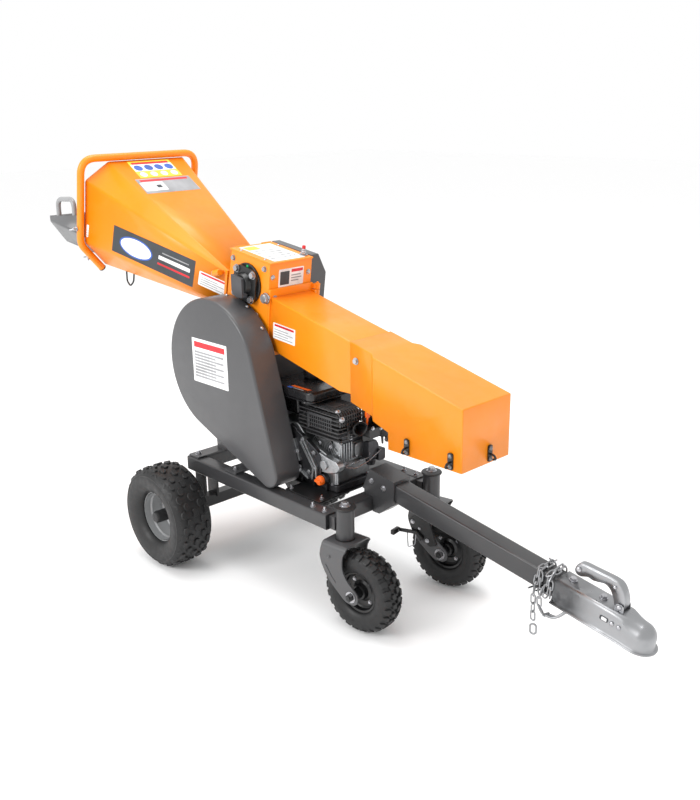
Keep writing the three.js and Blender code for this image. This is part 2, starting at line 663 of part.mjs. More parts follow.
function beltGuardBack() {
  const { top, topRadius, toe, toeRadius } = GUARD;
  const skin = teardrop(top, topRadius, toe, toeRadius);
  const plate = plateXZ(skin, GUARD_Y.back + GAP, GUARD_Y.plate);
  const bearing = rod([ROTOR.x, -130, ROTOR.z], [ROTOR.x, -110, ROTOR.z], 80, 16);
  const disc = rod([ROLLER.x, -130, ROLLER.z], [ROLLER.x, -110, ROLLER.z], ROLLER.seal + 4, 16);
  const crank = rod([CRANK.x, -130, CRANK.z], [CRANK.x, -110, CRANK.z], 26, 12);
  return cut(plate, bearing, disc, crank, hopperSpace(2));
}

// ---------------------------------------------------------------- infeed hopper and tray

// The mouth is eight-sided and leans forward; `wall` moves the outline inwards.
function mouthRing(wall, beyond = 0) {
  const lean = (z) => MOUTH.x - beyond + (z - MOUTH.bottomCorner) * MOUTH.lean;
  const { mid, half, floorHalf, topNear, topFar } = HOPPER;
  const levels = [[mid - floorHalf, mid + floorHalf, MOUTH.floor + wall]];
  levels.push([mid - half, mid + half, MOUTH.bottomCorner], [mid - half, mid + half, MOUTH.topCorner]);
  levels.push([topNear, topFar, MOUTH.top - wall]);
  return levels.flatMap(([near, far, z]) => [[lean(z), near + wall, z], [lean(z), far - wall, z]]);
}

function throatRing(wall, beyond = 0) {
  const lean = (z) => THROAT.x + beyond + (z - THROAT.floor) * THROAT.lean;
  const [near, far] = [THROAT.near + wall, THROAT.far - wall];
  const [low, high] = [THROAT.floor + wall, THROAT.top - wall];
  return [near, far].flatMap((y) => [low, high].map((z) => [lean(z), y, z]));
}

// The solid inside the funnel's outer skin, grown by a clearance.
function hopperSpace(clearance) {
  return hull([...mouthRing(-clearance), ...throatRing(-clearance)]);
}

function hopper() {
  const outer = hopperSpace(0);
  const inner = hull([...mouthRing(HOPPER.sheet, 6), ...throatRing(HOPPER.sheet, 6)]);
  const funnel = cut(outer, inner);
  const collar = plateXZ([[-622, 864], [-612, 864], [-584, 1002], [-594, 1002]], HEAD_Y.near, HEAD_Y.far);
  const passage = plateXZ([[-640, 874], [-600, 874], [-570, 989], [-610, 989]], HEAD_Y.near + 6, HEAD_Y.far - 6);
  return cut(join(funnel, collar), passage, inner);
}

function hopperHoop() {
  const out = 14.5;
  const x = (z) => MOUTH.x - 6 + (z - MOUTH.bottomCorner) * MOUTH.lean;
  const half = HOPPER.half + out;
  const low = MOUTH.bottomCorner - 6;
  const toe = [HOPPER.floorHalf + 12, MOUTH.floor - 10];
  const points = [[-toe[0], toe[1]], [-half, low], [-half, MOUTH.top + out], [half, MOUTH.top + out]];
  points.push([half, low], [toe[0], toe[1]]);
  return bentTube(points.map(([y, z]) => [x(z), HOPPER.mid + y, z]), 13, [12, 52, 52, 12], 8);
}

// Swing bolt with a dome nut that clamps the hopper's collar to the head.
function hopperKnuckle() {
  const y = HEAD_Y.near - 17;
  const barrel = rod([-638, y, 990], [-604, y, 998], 11, 10);
  return join(barrel, rod([-650, y, 987.3], [-636, y, 990.4], 8, 10));
}

// How far each cheek of the tray stands inside the hopper's side, so that it can fold into the mouth.
const TRAY_INSET = 9.5;

// Folding feed tray: cheeks, sloping lower corners and a floor, open to the mouth.
function infeedTray() {
  const half = HOPPER.half - TRAY_INSET;
  const foot = HOPPER.floorHalf + 18;
  const rear = MOUTH.x - 18;
  const end = TRAY_END_X;
  const ring = (x, cheekLow, floor, top, wall, lift) => {
    const levels = [[half, top], [half, cheekLow], [foot, floor]];
    return levels.flatMap(([y, z], i) => {
      const height = i === 0 ? z + lift : z + wall;
      return [-1, 1].map((s) => [x, HOPPER.mid + s * (y - wall), height]);
    });
  };
  const outer = hull([...ring(end, 1110, 1027, 1131, 0, 0), ...ring(rear, 1072, 998, 1150, 0, 0)]);
  const inner = hull([...ring(end + 2.5, 1110, 1027, 1131, 2.5, 9), ...ring(rear + 6, 1072, 998, 1150, 2.5, 9)]);
  return cut(outer, inner);
}

function trayHandle() {
  const y = HOPPER.mid - HOPPER.half + TRAY_INSET + 9;
  const top = (x) => 1131 + ((x - TRAY_END_X) / 255) * 19;
  const [a, b] = [-1424, -1304];
  return bentTube([[a, y, top(a) + GAP], [a, y, 1196], [b, y, 1203], [b, y, top(b) + GAP]], 9, 30, 8);
}

// ---------------------------------------------------------------- discharge chute and hood

const ductTop = (x) => DUCT.topZ - (x - DUCT_START_X) * DUCT.slope;
const ductFloor = (x) => DUCT.floorZ - (x + 360) * DUCT.slope;

function dischargeChute() {
  const { near, far, sheet, end } = DUCT;
  const back = (z) => faceX(z) + 1;
  const sides = [[back(944), ductTop(back(944))], [30, ductTop(30)], [end, 826], [end, 690]];
  sides.push([-62, ductFloor(-62)]);
  sides.push([back(775), ductFloor(back(775))]);
  const body = plateXZ(sides, near, far);
  const inner = [[-460, ductTop(-460) - sheet], [4, ductTop(4) - sheet], [4, 900], [100, 900], [100, 600]];
  inner.push([-62.5, ductFloor(-62.5) + sheet], [-460, ductFloor(-460) + sheet]);
  const space = plateXZ(inner, near + sheet, far - sheet);
  const flangeLine = [[back(968), 968], [back(968) + 7, 968], [back(744) + 7, 744], [back(744), 744]];
  const flange = plateXZ(flangeLine, HEAD_Y.near, HEAD_Y.far + 3);
  const window = [[-460, ductTop(-460) - sheet], [-330, ductTop(-330) - sheet]];
  window.push([-330, ductFloor(-330) + sheet], [-460, ductFloor(-460) + sheet]);
  const knuckle = (z) => {
    const [x, y] = hingePoint(z);
    const barrel = rod(hingePoint(z), hingePoint(z + 18), 9, 10);
    return join(barrel, block(back(z + 9) + 1, x, 62, y, z + 1, z + 15));
  };
  const shell = join(body, flange, knuckle(927), knuckle(782));
  const bores = rod(hingePoint(770), hingePoint(960), 4.5, 10);
  return cut(shell, space, plateXZ(window, near + sheet, far - sheet), bores);
}

function hingePoint(z) {
  return [CHUTE_HINGE.x + (z - CHUTE_HINGE.z) * FACE.lean, CHUTE_HINGE.y, z];
}

// Fixed knuckles of the chute hinge, welded to the head, with their pin.
function chuteHingePin() {
  const lug = (z) => {
    const [x, y] = hingePoint(z);
    const root = faceX(z);
    const barrel = rod(hingePoint(z), hingePoint(z + 18), 9, 10);
    const arm = [[root - 4, HEAD_Y.far + GAP], [root + 0.4, HEAD_Y.far + GAP], [root + 0.4, 70.5], [x, y - 7]];
    arm.push([x, y + 7], [root - 4, 80]);
    return join(barrel, plateXY(arm, z + 1, z + 16));
  };
  const pin = rod(hingePoint(778), hingePoint(968), 4, 10);
  return join(lug(946), lug(801), pin);
}

// Wide box at the chute's end, open below, whose narrow neck laps over the chute at its pivot bolts.
function chuteHood() {
  const { near, far, sheet, end, bottom } = HOOD;
  const topAt = (x) => ductTop(x) + GAP + sheet;
  const side = [[100, topAt(100)], [end, topAt(end) - 4], [end, bottom], [161, bottom], [161, 625], [100, 645]];
  const neck = { near: DUCT.near - sheet - 0.8, far: DUCT.far + sheet + 0.8 };
  const neckSide = [[-8, topAt(-8)], [81, topAt(81)], [81, 651.7], [-8, 676]];
  const ringAt = (x, y0, y1, low) => [[x, y0, low], [x, y1, low], [x, y1, topAt(x)], [x, y0, topAt(x)]];
  const bevel = hull([...ringAt(80, neck.near, neck.far, 652), ...ringAt(100, near, far, 645)]);
  const shell = join(plateXZ(side, near, far), bevel, plateXZ(neckSide, neck.near, neck.far));

  const inner = (x) => topAt(x) - sheet;
  const room = [[100, inner(100)], [end - sheet, inner(end - sheet) - 4], [end - sheet, 500], [100, 500]];
  const neckRoom = [[-9, inner(-9)], [82, inner(82)], [82, 500], [-9, 500]];
  const ringIn = (x, y0, y1) => [[x, y0, 500], [x, y1, 500], [x, y1, inner(x)], [x, y0, inner(x)]];
  const bevelRoom = hull([
    ...ringIn(79.5, neck.near + sheet, neck.far - sheet),
    ...ringIn(100.5, near + sheet, far - sheet),
  ]);
  return cut(
    shell,
    plateXZ(room, near + sheet, far - sheet),
    plateXZ(neckRoom, neck.near + sheet, neck.far - sheet),
    bevelRoom,
  );
}

// ---------------------------------------------------------------- engine

const ENGINE = { near: -112, far: 58, foot: FRAME.top + 6, filler: [-135, 392] };

function engineCrankcase() {
  const { near, far, foot } = ENGINE;
  const side = [[-392, foot + 18], [-392, 520], [-360, 548], [-262, 548], [-214, 500], [-130, 476], [-96, 440]];
  side.push([-96, foot + 18]);
  const body = plateXZ(side, near, far);
  const base = block(-404, -84, near, far, foot, foot + 22);
  const cover = rod([CRANK.x, near - 6, CRANK.z], [CRANK.x, near + 4, CRANK.z], 84, 24);
  const [x, z] = ENGINE.filler;
  const filler = rod([x, near + 12, z], [x, near - 6, z], 17, 12);
  return join(body, base, cover, filler);
}

// Finned barrel, head and rocker cover, leaning back from the crankcase.
function engineCylinder() {
  const lean = -0.26;
  const fins = [...Array(6).keys()].map((k) => block(86 + k * 11, 91 + k * 11, -76, 34, -52, 52));
  const barrel = block(60, 150, -62, 20, -40, 40);
  const head = block(148, 186, -74, 32, -50, 50);
  const cover = block(185, 218, -62, 20, -40, 40);
  const stack = join(barrel, ...fins, head, cover);
  const group = bare(stack.rotateY(lean).translate(CRANK.x + 2, 0, CRANK.z + 2));
  const crankcase = [[-420, 340], [-420, 549], [-261.6, 549], [-213.6, 501], [-129.6, 477], [-95, 440.4], [-95, 340]];
  return cut(group, plateXZ(crankcase, -130, 70));
}

// Black slatted guard round the exhaust silencer.
function mufflerGuard() {
  const [left, right, near, far, top] = [-254, -74, -100, 14, 620];
  const box = block(left, right, near, far, 572, top);
  const skirt = plateXZ([[left, 580], [left, 546], [-230, 522], [right, 522], [right, 580]], near, near + 20);
  const slotAt = (k) => left + 8 + k * 34;
  const slots = [...Array(5).keys()].map((k) => block(slotAt(k), slotAt(k) + 20, near - 10, near + 8, 582, 608));
  const lid = [...Array(5).keys()].map((k) => block(slotAt(k), slotAt(k) + 20, near + 14, far - 10, top - 8, top + 6));
  return cut(join(box, skirt), ...slots, ...lid);
}

function fuelTank() {
  const upper = block(-402, -184, -112, 130, 630, 662);
  const lower = block(-402, -300, -68, 126, 560, 631);
  return join(upper, lower, block(-301, -210, 26, 126, 566, 631));
}

function fuelCap() {
  const at = [-325, 30];
  return rod([...at, 662.4], [...at, 684], 35, 20, 33);
}

function recoilCover() {
  const { x, z } = CRANK;
  const dome = turned([[0, 0], [100, 0], [100, 52], [86, 74], [0, 80]], [x, 58.4, z], [x, 150, z], 20);
  return cut(dome, block(-420, -150, 40, 150, 330, FRAME.top + 6.5));
}

function recoilGrip() {
  return block(-344, -280, 140, 158, 514, 528);
}

function airFilter() {
  return join(block(-92, -20, 40, 124, 520, 620), block(-132, -90, 60, 100, 540, 580));
}

function oilDipstick() {
  const [x, z] = ENGINE.filler;
  return rod([x, ENGINE.near - 6.4, z], [x, ENGINE.near - 22, z], 15, 10);
}

// ---------------------------------------------------------------- assembly

const machine = new THREE.Group();
machine.position.x = -MID_LENGTH_X;

machine.add(mesh('frame_rail_right', frameRail(-RAIL_OUT), FINISH.frameGrey));
machine.add(mesh('frame_rail_left', frameRail(RAIL_IN), FINISH.frameGrey));
machine.add(mesh('frame_cross_front', frameCross(-FRAME.tube), FINISH.frameGrey));
machine.add(mesh('frame_cross_rear', frameCross(-FRAME.length), FINISH.frameGrey));
machine.add(mesh('engine_base_plate', engineBasePlate(), FINISH.black));
machine.add(mesh('rear_axle', rearAxle(), FINISH.black));
machine.add(mesh('caster_sleeve_right', casterSleeve(-1), FINISH.frameGrey));
machine.add(mesh('caster_sleeve_left', casterSleeve(1), FINISH.frameGrey));
machine.add(mesh('tow_bracket', towBracket(), FINISH.frameGrey));
machine.add(towBar());
machine.add(rearWheel('right', -1), rearWheel('left', 1));
machine.add(caster('right', -1), caster('left', 1));

machine.add(mesh('housing_stand', housingStand(), FINISH.charcoal));
machine.add(mesh('chopper_housing', chopperHousing(), FINISH.orange));
machine.add(mesh('housing_top_cover', topCover(), FINISH.orange));
machine.add(mesh('plunger_collar', plungerCollar(), FINISH.zinc));
machine.add(mesh('cover_plunger', coverPlunger(), FINISH.zinc));
machine.add(mesh('upper_bearing', flangeBearing(ROLLER, true), FINISH.black));
machine.add(mesh('lower_bearing', flangeBearing(ROTOR, false), FINISH.black));
machine.add(mesh('drive_case', driveCase(), FINISH.charcoal));
machine.add(mesh('cutting_rotor', cuttingRotor(), FINISH.tool));
machine.add(mesh('feed_roller', feedRoller(), FINISH.tool));
machine.add(mesh('driven_pulley', pulley(ROTOR.x, ROTOR.z, PULLEY.driven, ROTOR.shaft + GAP, true), FINISH.casting));
machine.add(mesh('drive_belt', driveBelt(), FINISH.rubber));
machine.add(mesh('engine_pulley', enginePulley(), FINISH.casting));
machine.add(mesh('rotor_sprocket', sprocket(ROTOR.x, ROTOR.z, 38, ROTOR.shaft + GAP), FINISH.tool));
machine.add(mesh('roller_sprocket', sprocket(ROLLER.x, ROLLER.z, 58, ROLLER.shaft + GAP), FINISH.tool));
machine.add(mesh('drive_chain', driveChain(), FINISH.tool));
machine.add(mesh('belt_guard', beltGuard(), FINISH.charcoal));
machine.add(mesh('belt_guard_back', beltGuardBack(), FINISH.charcoal));

machine.add(mesh('hopper', hopper(), FINISH.orange));
machine.add(mesh('hopper_hoop', hopperHoop(), FINISH.orange));
machine.add(mesh('hopper_knuckle', hopperKnuckle(), FINISH.orange));
machine.add(mesh('infeed_tray', infeedTray(), FINISH.rim));
machine.add(mesh('tray_handle', trayHandle(), FINISH.rim));

machine.add(mesh('discharge_chute', dischargeChute(), FINISH.orange));
machine.add(mesh('chute_hinge_pin', chuteHingePin(), FINISH.orange));
machine.add(mesh('chute_lock_bolt', chuteLockBolt(), FINISH.zinc));
machine.add(mesh('chute_hood', chuteHood(), FINISH.orange));

machine.add(mesh('engine_crankcase', engineCrankcase(), FINISH.casting));
machine.add(mesh('engine_cylinder', engineCylinder(), FINISH.casting));
machine.add(mesh('muffler_guard', mufflerGuard(), FINISH.black));
machine.add(mesh('fuel_tank', fuelTank(), FINISH.black));
machine.add(mesh('fuel_cap', fuelCap(), FINISH.blackPlastic));
machine.add(mesh('recoil_cover', recoilCover(), FINISH.black));
machine.add(mesh('recoil_grip', recoilGrip(), FINISH.blackPlastic));
machine.add(mesh('air_filter', airFilter(), FINISH.blackPlastic));
machine.add(mesh('oil_dipstick', oilDipstick(), FINISH.signal));

const group = new THREE.Group();
group.add(machine);
export default group;
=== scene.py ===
"""The looks of a towable wood chipper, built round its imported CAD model.

Lengths are in millimetres. Along the machine they are measured from the front edge of the
chassis frame, across it from its middle, and upwards from the ground. `at` turns such a
point into the row frame, in metres.
"""
import json
import math
import random

import bmesh
import bpy
from mathutils import Matrix, Vector

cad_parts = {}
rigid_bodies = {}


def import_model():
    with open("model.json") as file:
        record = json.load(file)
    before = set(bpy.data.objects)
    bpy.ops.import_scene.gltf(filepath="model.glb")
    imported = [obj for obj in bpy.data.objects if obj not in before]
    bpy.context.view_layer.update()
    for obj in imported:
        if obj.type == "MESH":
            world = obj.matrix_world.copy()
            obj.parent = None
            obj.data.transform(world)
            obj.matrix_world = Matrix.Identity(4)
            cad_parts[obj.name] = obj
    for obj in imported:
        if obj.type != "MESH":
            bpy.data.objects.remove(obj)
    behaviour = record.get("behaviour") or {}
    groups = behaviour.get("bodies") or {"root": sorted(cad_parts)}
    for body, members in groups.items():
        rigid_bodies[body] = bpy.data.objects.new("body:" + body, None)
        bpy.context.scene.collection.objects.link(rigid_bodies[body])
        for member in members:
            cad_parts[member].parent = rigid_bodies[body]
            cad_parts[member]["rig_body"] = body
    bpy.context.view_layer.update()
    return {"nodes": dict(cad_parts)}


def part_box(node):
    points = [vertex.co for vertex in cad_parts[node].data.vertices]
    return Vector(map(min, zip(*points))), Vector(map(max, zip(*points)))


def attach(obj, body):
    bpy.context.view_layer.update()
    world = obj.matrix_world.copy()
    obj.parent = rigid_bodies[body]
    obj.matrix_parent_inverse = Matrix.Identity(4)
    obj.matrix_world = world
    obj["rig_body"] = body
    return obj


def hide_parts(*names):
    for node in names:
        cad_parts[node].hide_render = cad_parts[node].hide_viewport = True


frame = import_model()

MM = 0.001
FRONT_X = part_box("frame_rail_right")[1].x
NODES = frame["nodes"]
random.seed(7)


def at(x, y, z):
    return Vector((FRONT_X + x * MM, y * MM, z * MM))


# ------------------------------------------------------------------ camera, floor and light

CAMERA_PLACE = (1934.8, -1976.0, 1535.9)
CAMERA_YAW, CAMERA_PITCH, CAMERA_ROLL = 2.385172, -0.306828, -0.016786
CAMERA_LENS = 42.74
CAMERA_SHIFT_X = 0.0091


def make_camera():
    camera = bpy.data.objects.new("camera", bpy.data.cameras.new("camera"))
    bpy.context.scene.collection.objects.link(camera)
    level = math.cos(CAMERA_PITCH)
    ahead = Vector((level * math.cos(CAMERA_YAW), level * math.sin(CAMERA_YAW), math.sin(CAMERA_PITCH)))
    side = ahead.cross(Vector((0, 0, 1))).normalized()
    above = side.cross(ahead)
    right = side * math.cos(CAMERA_ROLL) + above * math.sin(CAMERA_ROLL)
    up = above * math.cos(CAMERA_ROLL) - side * math.sin(CAMERA_ROLL)
    turn = Matrix((right, up, -ahead)).transposed().to_4x4()
    camera.matrix_world = Matrix.Translation(at(*CAMERA_PLACE)) @ turn
    camera.data.sensor_width = 36
    camera.data.lens = CAMERA_LENS
    camera.data.shift_x = CAMERA_SHIFT_X
    camera.data.clip_end = 100
    bpy.context.scene.camera = camera


def area_light(name, place, target, size, watts):
    light = bpy.data.objects.new(name, bpy.data.lights.new(name, "AREA"))
    light.data.shape = "RECTANGLE"
    light.data.size, light.data.size_y = size
    light.data.energy = watts
    light.location = place
    light.rotation_euler = (Vector(target) - Vector(place)).to_track_quat("-Z", "Y").to_euler()
    bpy.context.scene.collection.objects.link(light)


def make_studio():
    world = bpy.data.worlds.new("studio")
    bpy.context.scene.world = world
    world.use_nodes = True
    sky = world.node_tree.nodes["Background"]
    sky.inputs["Color"].default_value = (1, 1, 1, 1)
    sky.inputs["Strength"].default_value = 1.0
    bpy.context.scene.view_settings.view_transform = "Standard"
    area_light("key", (-0.9, -4.4, 2.9), (-0.1, 0, 0.6), (2.6, 2.0), 130)
    area_light("top", (-0.6, 0.3, 4.4), (-0.2, 0, 0.7), (2.6, 2.6), 90)
    bpy.ops.mesh.primitive_plane_add(size=40)
    floor = bpy.context.object
    floor.name = "floor"
    floor.data.materials.append(plain_floor())


# ------------------------------------------------------------------ materials

def new_material(name, color, roughness, metallic=0.0, **sockets):
    """A Principled material with its constants on the shader, ready for texture nodes."""
    material = bpy.data.materials.new(name)
    material.use_nodes = True
    shader = material.node_tree.nodes["Principled BSDF"]
    shader.inputs["Base Color"].default_value = (*color, 1)
    shader.inputs["Roughness"].default_value = roughness
    shader.inputs["Metallic"].default_value = metallic
    for socket, value in sockets.items():
        shader.inputs[socket.replace("_", " ")].default_value = value
    material.diffuse_color = (*color, 1)
    return material, shader


def noise(material, scale, detail=3.0, stretch=None):
    nodes, links = material.node_tree.nodes, material.node_tree.links
    place = nodes.new("ShaderNodeTexCoord")
    texture = nodes.new("ShaderNodeTexNoise")
    texture.inputs["Scale"].default_value = scale
    texture.inputs["Detail"].default_value = detail
    vector = place.outputs["Object"]
    if stretch:
        mapping = nodes.new("ShaderNodeMapping")
        mapping.inputs["Scale"].default_value = stretch
        links.new(vector, mapping.inputs["Vector"])
        vector = mapping.outputs["Vector"]
    links.new(vector, texture.inputs["Vector"])
    return texture.outputs["Fac"]


def ranged(material, value, low, high):
    nodes, links = material.node_tree.nodes, material.node_tree.links
    ramp = nodes.new("ShaderNodeMapRange")
    ramp.inputs["From Min"].default_value = 0.3
    ramp.inputs["From Max"].default_value = 0.7
    ramp.inputs["To Min"].default_value = low
    ramp.inputs["To Max"].default_value = high
    links.new(value, ramp.inputs["Value"])
    return ramp.outputs["Result"]


def vary_color(material, shader, value, dark, light):
    """The base colour wanders between a darker and a lighter shade with a noise value."""
    nodes, links = material.node_tree.nodes, material.node_tree.links
    ramp = nodes.new("ShaderNodeValToRGB")
    ramp.color_ramp.elements[0].position = 0.3
    ramp.color_ramp.elements[0].color = (*dark, 1)
    ramp.color_ramp.elements[1].position = 0.7
    ramp.color_ramp.elements[1].color = (*light, 1)
    links.new(value, ramp.inputs["Fac"])
    links.new(ramp.outputs["Color"], shader.inputs["Base Color"])


def bump(material, shader, value, strength, depth):
    nodes, links = material.node_tree.nodes, material.node_tree.links
    node = nodes.new("ShaderNodeBump")
    node.inputs["Strength"].default_value = strength
    node.inputs["Distance"].default_value = depth
    links.new(value, node.inputs["Height"])
    links.new(node.outputs["Normal"], shader.inputs["Normal"])


def shade(color, factor):
    return tuple(min(1.0, c * factor) for c in color)


def paint(name, color, roughness, coat=0.3, spread=0.06, peel=0.12):
    """Powder-coated steel: faint cloudiness, uneven gloss and a fine orange peel."""
    material, shader = new_material(name, color, roughness, Coat_Weight=coat, Coat_Roughness=0.18)
    clouds = noise(material, 6.0)
    vary_color(material, shader, clouds, shade(color, 1 - spread), shade(color, 1 + spread))
    gloss = ranged(material, noise(material, 22.0), roughness - 0.05, roughness + 0.07)
    material.node_tree.links.new(gloss, shader.inputs["Roughness"])
    bump(material, shader, noise(material, 900.0, 2.0), peel, 0.0002)
    return material


def metal(name, color, roughness, grain=(1, 1, 1), scale=160.0, spread=0.14, depth=0.0001):
    """Plated, cast or ground metal with a grain that can run along one direction."""
    material, shader = new_material(name, color, roughness, 1.0)
    mottle = noise(material, scale * 0.3, 4.0, grain)
    vary_color(material, shader, mottle, shade(color, 1 - spread), shade(color, 1 + spread))
    rough = ranged(material, noise(material, scale, 3.0, grain), roughness - 0.08, roughness + 0.12)
    material.node_tree.links.new(rough, shader.inputs["Roughness"])
    bump(material, shader, noise(material, scale * 4, 3.0, grain), 0.35, depth)
    return material


def moulded(name, color, roughness, grain=500.0, strength=0.25, depth=0.0002):
    """Plastic or rubber with a fine moulded grain."""
    material, shader = new_material(name, color, roughness)
    vary_color(material, shader, noise(material, 14.0), shade(color, 0.8), shade(color, 1.25))
    rough = ranged(material, noise(material, 60.0), roughness - 0.06, roughness + 0.08)
    material.node_tree.links.new(rough, shader.inputs["Roughness"])
    bump(material, shader, noise(material, grain, 2.0), strength, depth)
    return material


def plain_floor():
    material, _ = new_material("floor", (0.99, 0.99, 0.99), 0.9)
    return material


MATERIALS = {
    "orange": (paint("orange_paint", (0.90, 0.255, 0.001), 0.42, 0.12), "orange_paint"),
    "charcoal": (paint("charcoal_paint", (0.062, 0.062, 0.065), 0.36, 0.2), "charcoal_paint"),
    "frame": (paint("frame_paint", (0.034, 0.034, 0.036), 0.36, 0.2), "frame_paint"),
    "fork": (paint("fork_paint", (0.062, 0.062, 0.065), 0.34, 0.25), "charcoal_paint"),
    "black": (paint("black_paint", (0.006, 0.006, 0.0065), 0.34, 0.1), "black_paint"),
    "grey": (paint("tray_paint", (0.11, 0.112, 0.115), 0.38, 0.2), "tray_paint"),
    "silver": (paint("rim_paint", (0.27, 0.275, 0.28), 0.33, 0.3), "rim_paint"),
    "zinc": (metal("zinc_plate", (0.34, 0.345, 0.355), 0.34, scale=40.0, spread=0.05, depth=0.00002), "zinc"),
    "bolt": (metal("bolt_zinc", (0.46, 0.46, 0.48), 0.26, scale=60.0, spread=0.08, depth=0.00003), "zinc"),
    "cast": (metal("cast_aluminium", (0.22, 0.225, 0.23), 0.42, scale=240.0, depth=0.0001), "engine_casting"),
    "cast_dark": (metal("dark_casting", (0.07, 0.07, 0.075), 0.42, scale=240.0, depth=0.0001), "engine_casting"),
    "iron": (metal("pulley_iron", (0.22, 0.22, 0.23), 0.45), "pulley_iron"),
    "steel": (metal("tool_steel", (0.38, 0.38, 0.39), 0.30, (1, 12, 1)), "tool_steel"),
    "tank": (moulded("gloss_black", (0.010, 0.010, 0.011), 0.22, 300.0, 0.1), "tank"),
    "plastic": (moulded("matte_black", (0.013, 0.013, 0.014), 0.5), "black_plastic"),
    "signal": (moulded("orange_plastic", (0.90, 0.13, 0.004), 0.35), "orange_plastic"),
    "red": (moulded("red_cap", (0.62, 0.01, 0.015), 0.35), "orange_plastic"),
    "green": (moulded("green_plug", (0.0, 0.42, 0.12), 0.35), "black_plastic"),
    "tyre": (moulded("tyre_rubber", (0.006, 0.006, 0.0065), 0.5, 260.0, 0.4, 0.0004), "tyre"),
    "rubber": (moulded("belt_rubber", (0.02, 0.02, 0.02), 0.7), "rubber"),
    "white": (moulded("label_white", (0.80, 0.80, 0.80), 0.38, 300.0, 0.05), "black_plastic"),
    "yellow": (moulded("label_yellow", (0.85, 0.62, 0.04), 0.38, 300.0, 0.05), "black_plastic"),
    "label_blue": (moulded("label_blue", (0.03, 0.10, 0.42), 0.38, 300.0, 0.05), "black_plastic"),
    "cap_grey": (moulded("cap_grey", (0.055, 0.055, 0.06), 0.45), "black_plastic"),
    "guard_black": (paint("guard_black", (0.03, 0.03, 0.032), 0.38, 0.2), "black_paint"),
    "bright_cast": (metal("bright_casting", (0.40, 0.41, 0.42), 0.34, scale=240.0, depth=0.0001), "engine_casting"),
    "label_red": (moulded("label_red", (0.62, 0.012, 0.02), 0.38, 300.0, 0.05), "black_plastic"),
    "label_grey": (moulded("label_grey", (0.30, 0.30, 0.31), 0.4, 300.0, 0.05), "black_plastic"),
    "label_dark": (moulded("label_dark", (0.035, 0.04, 0.045), 0.36, 300.0, 0.05), "black_plastic"),
}


# ------------------------------------------------------------------ shapes

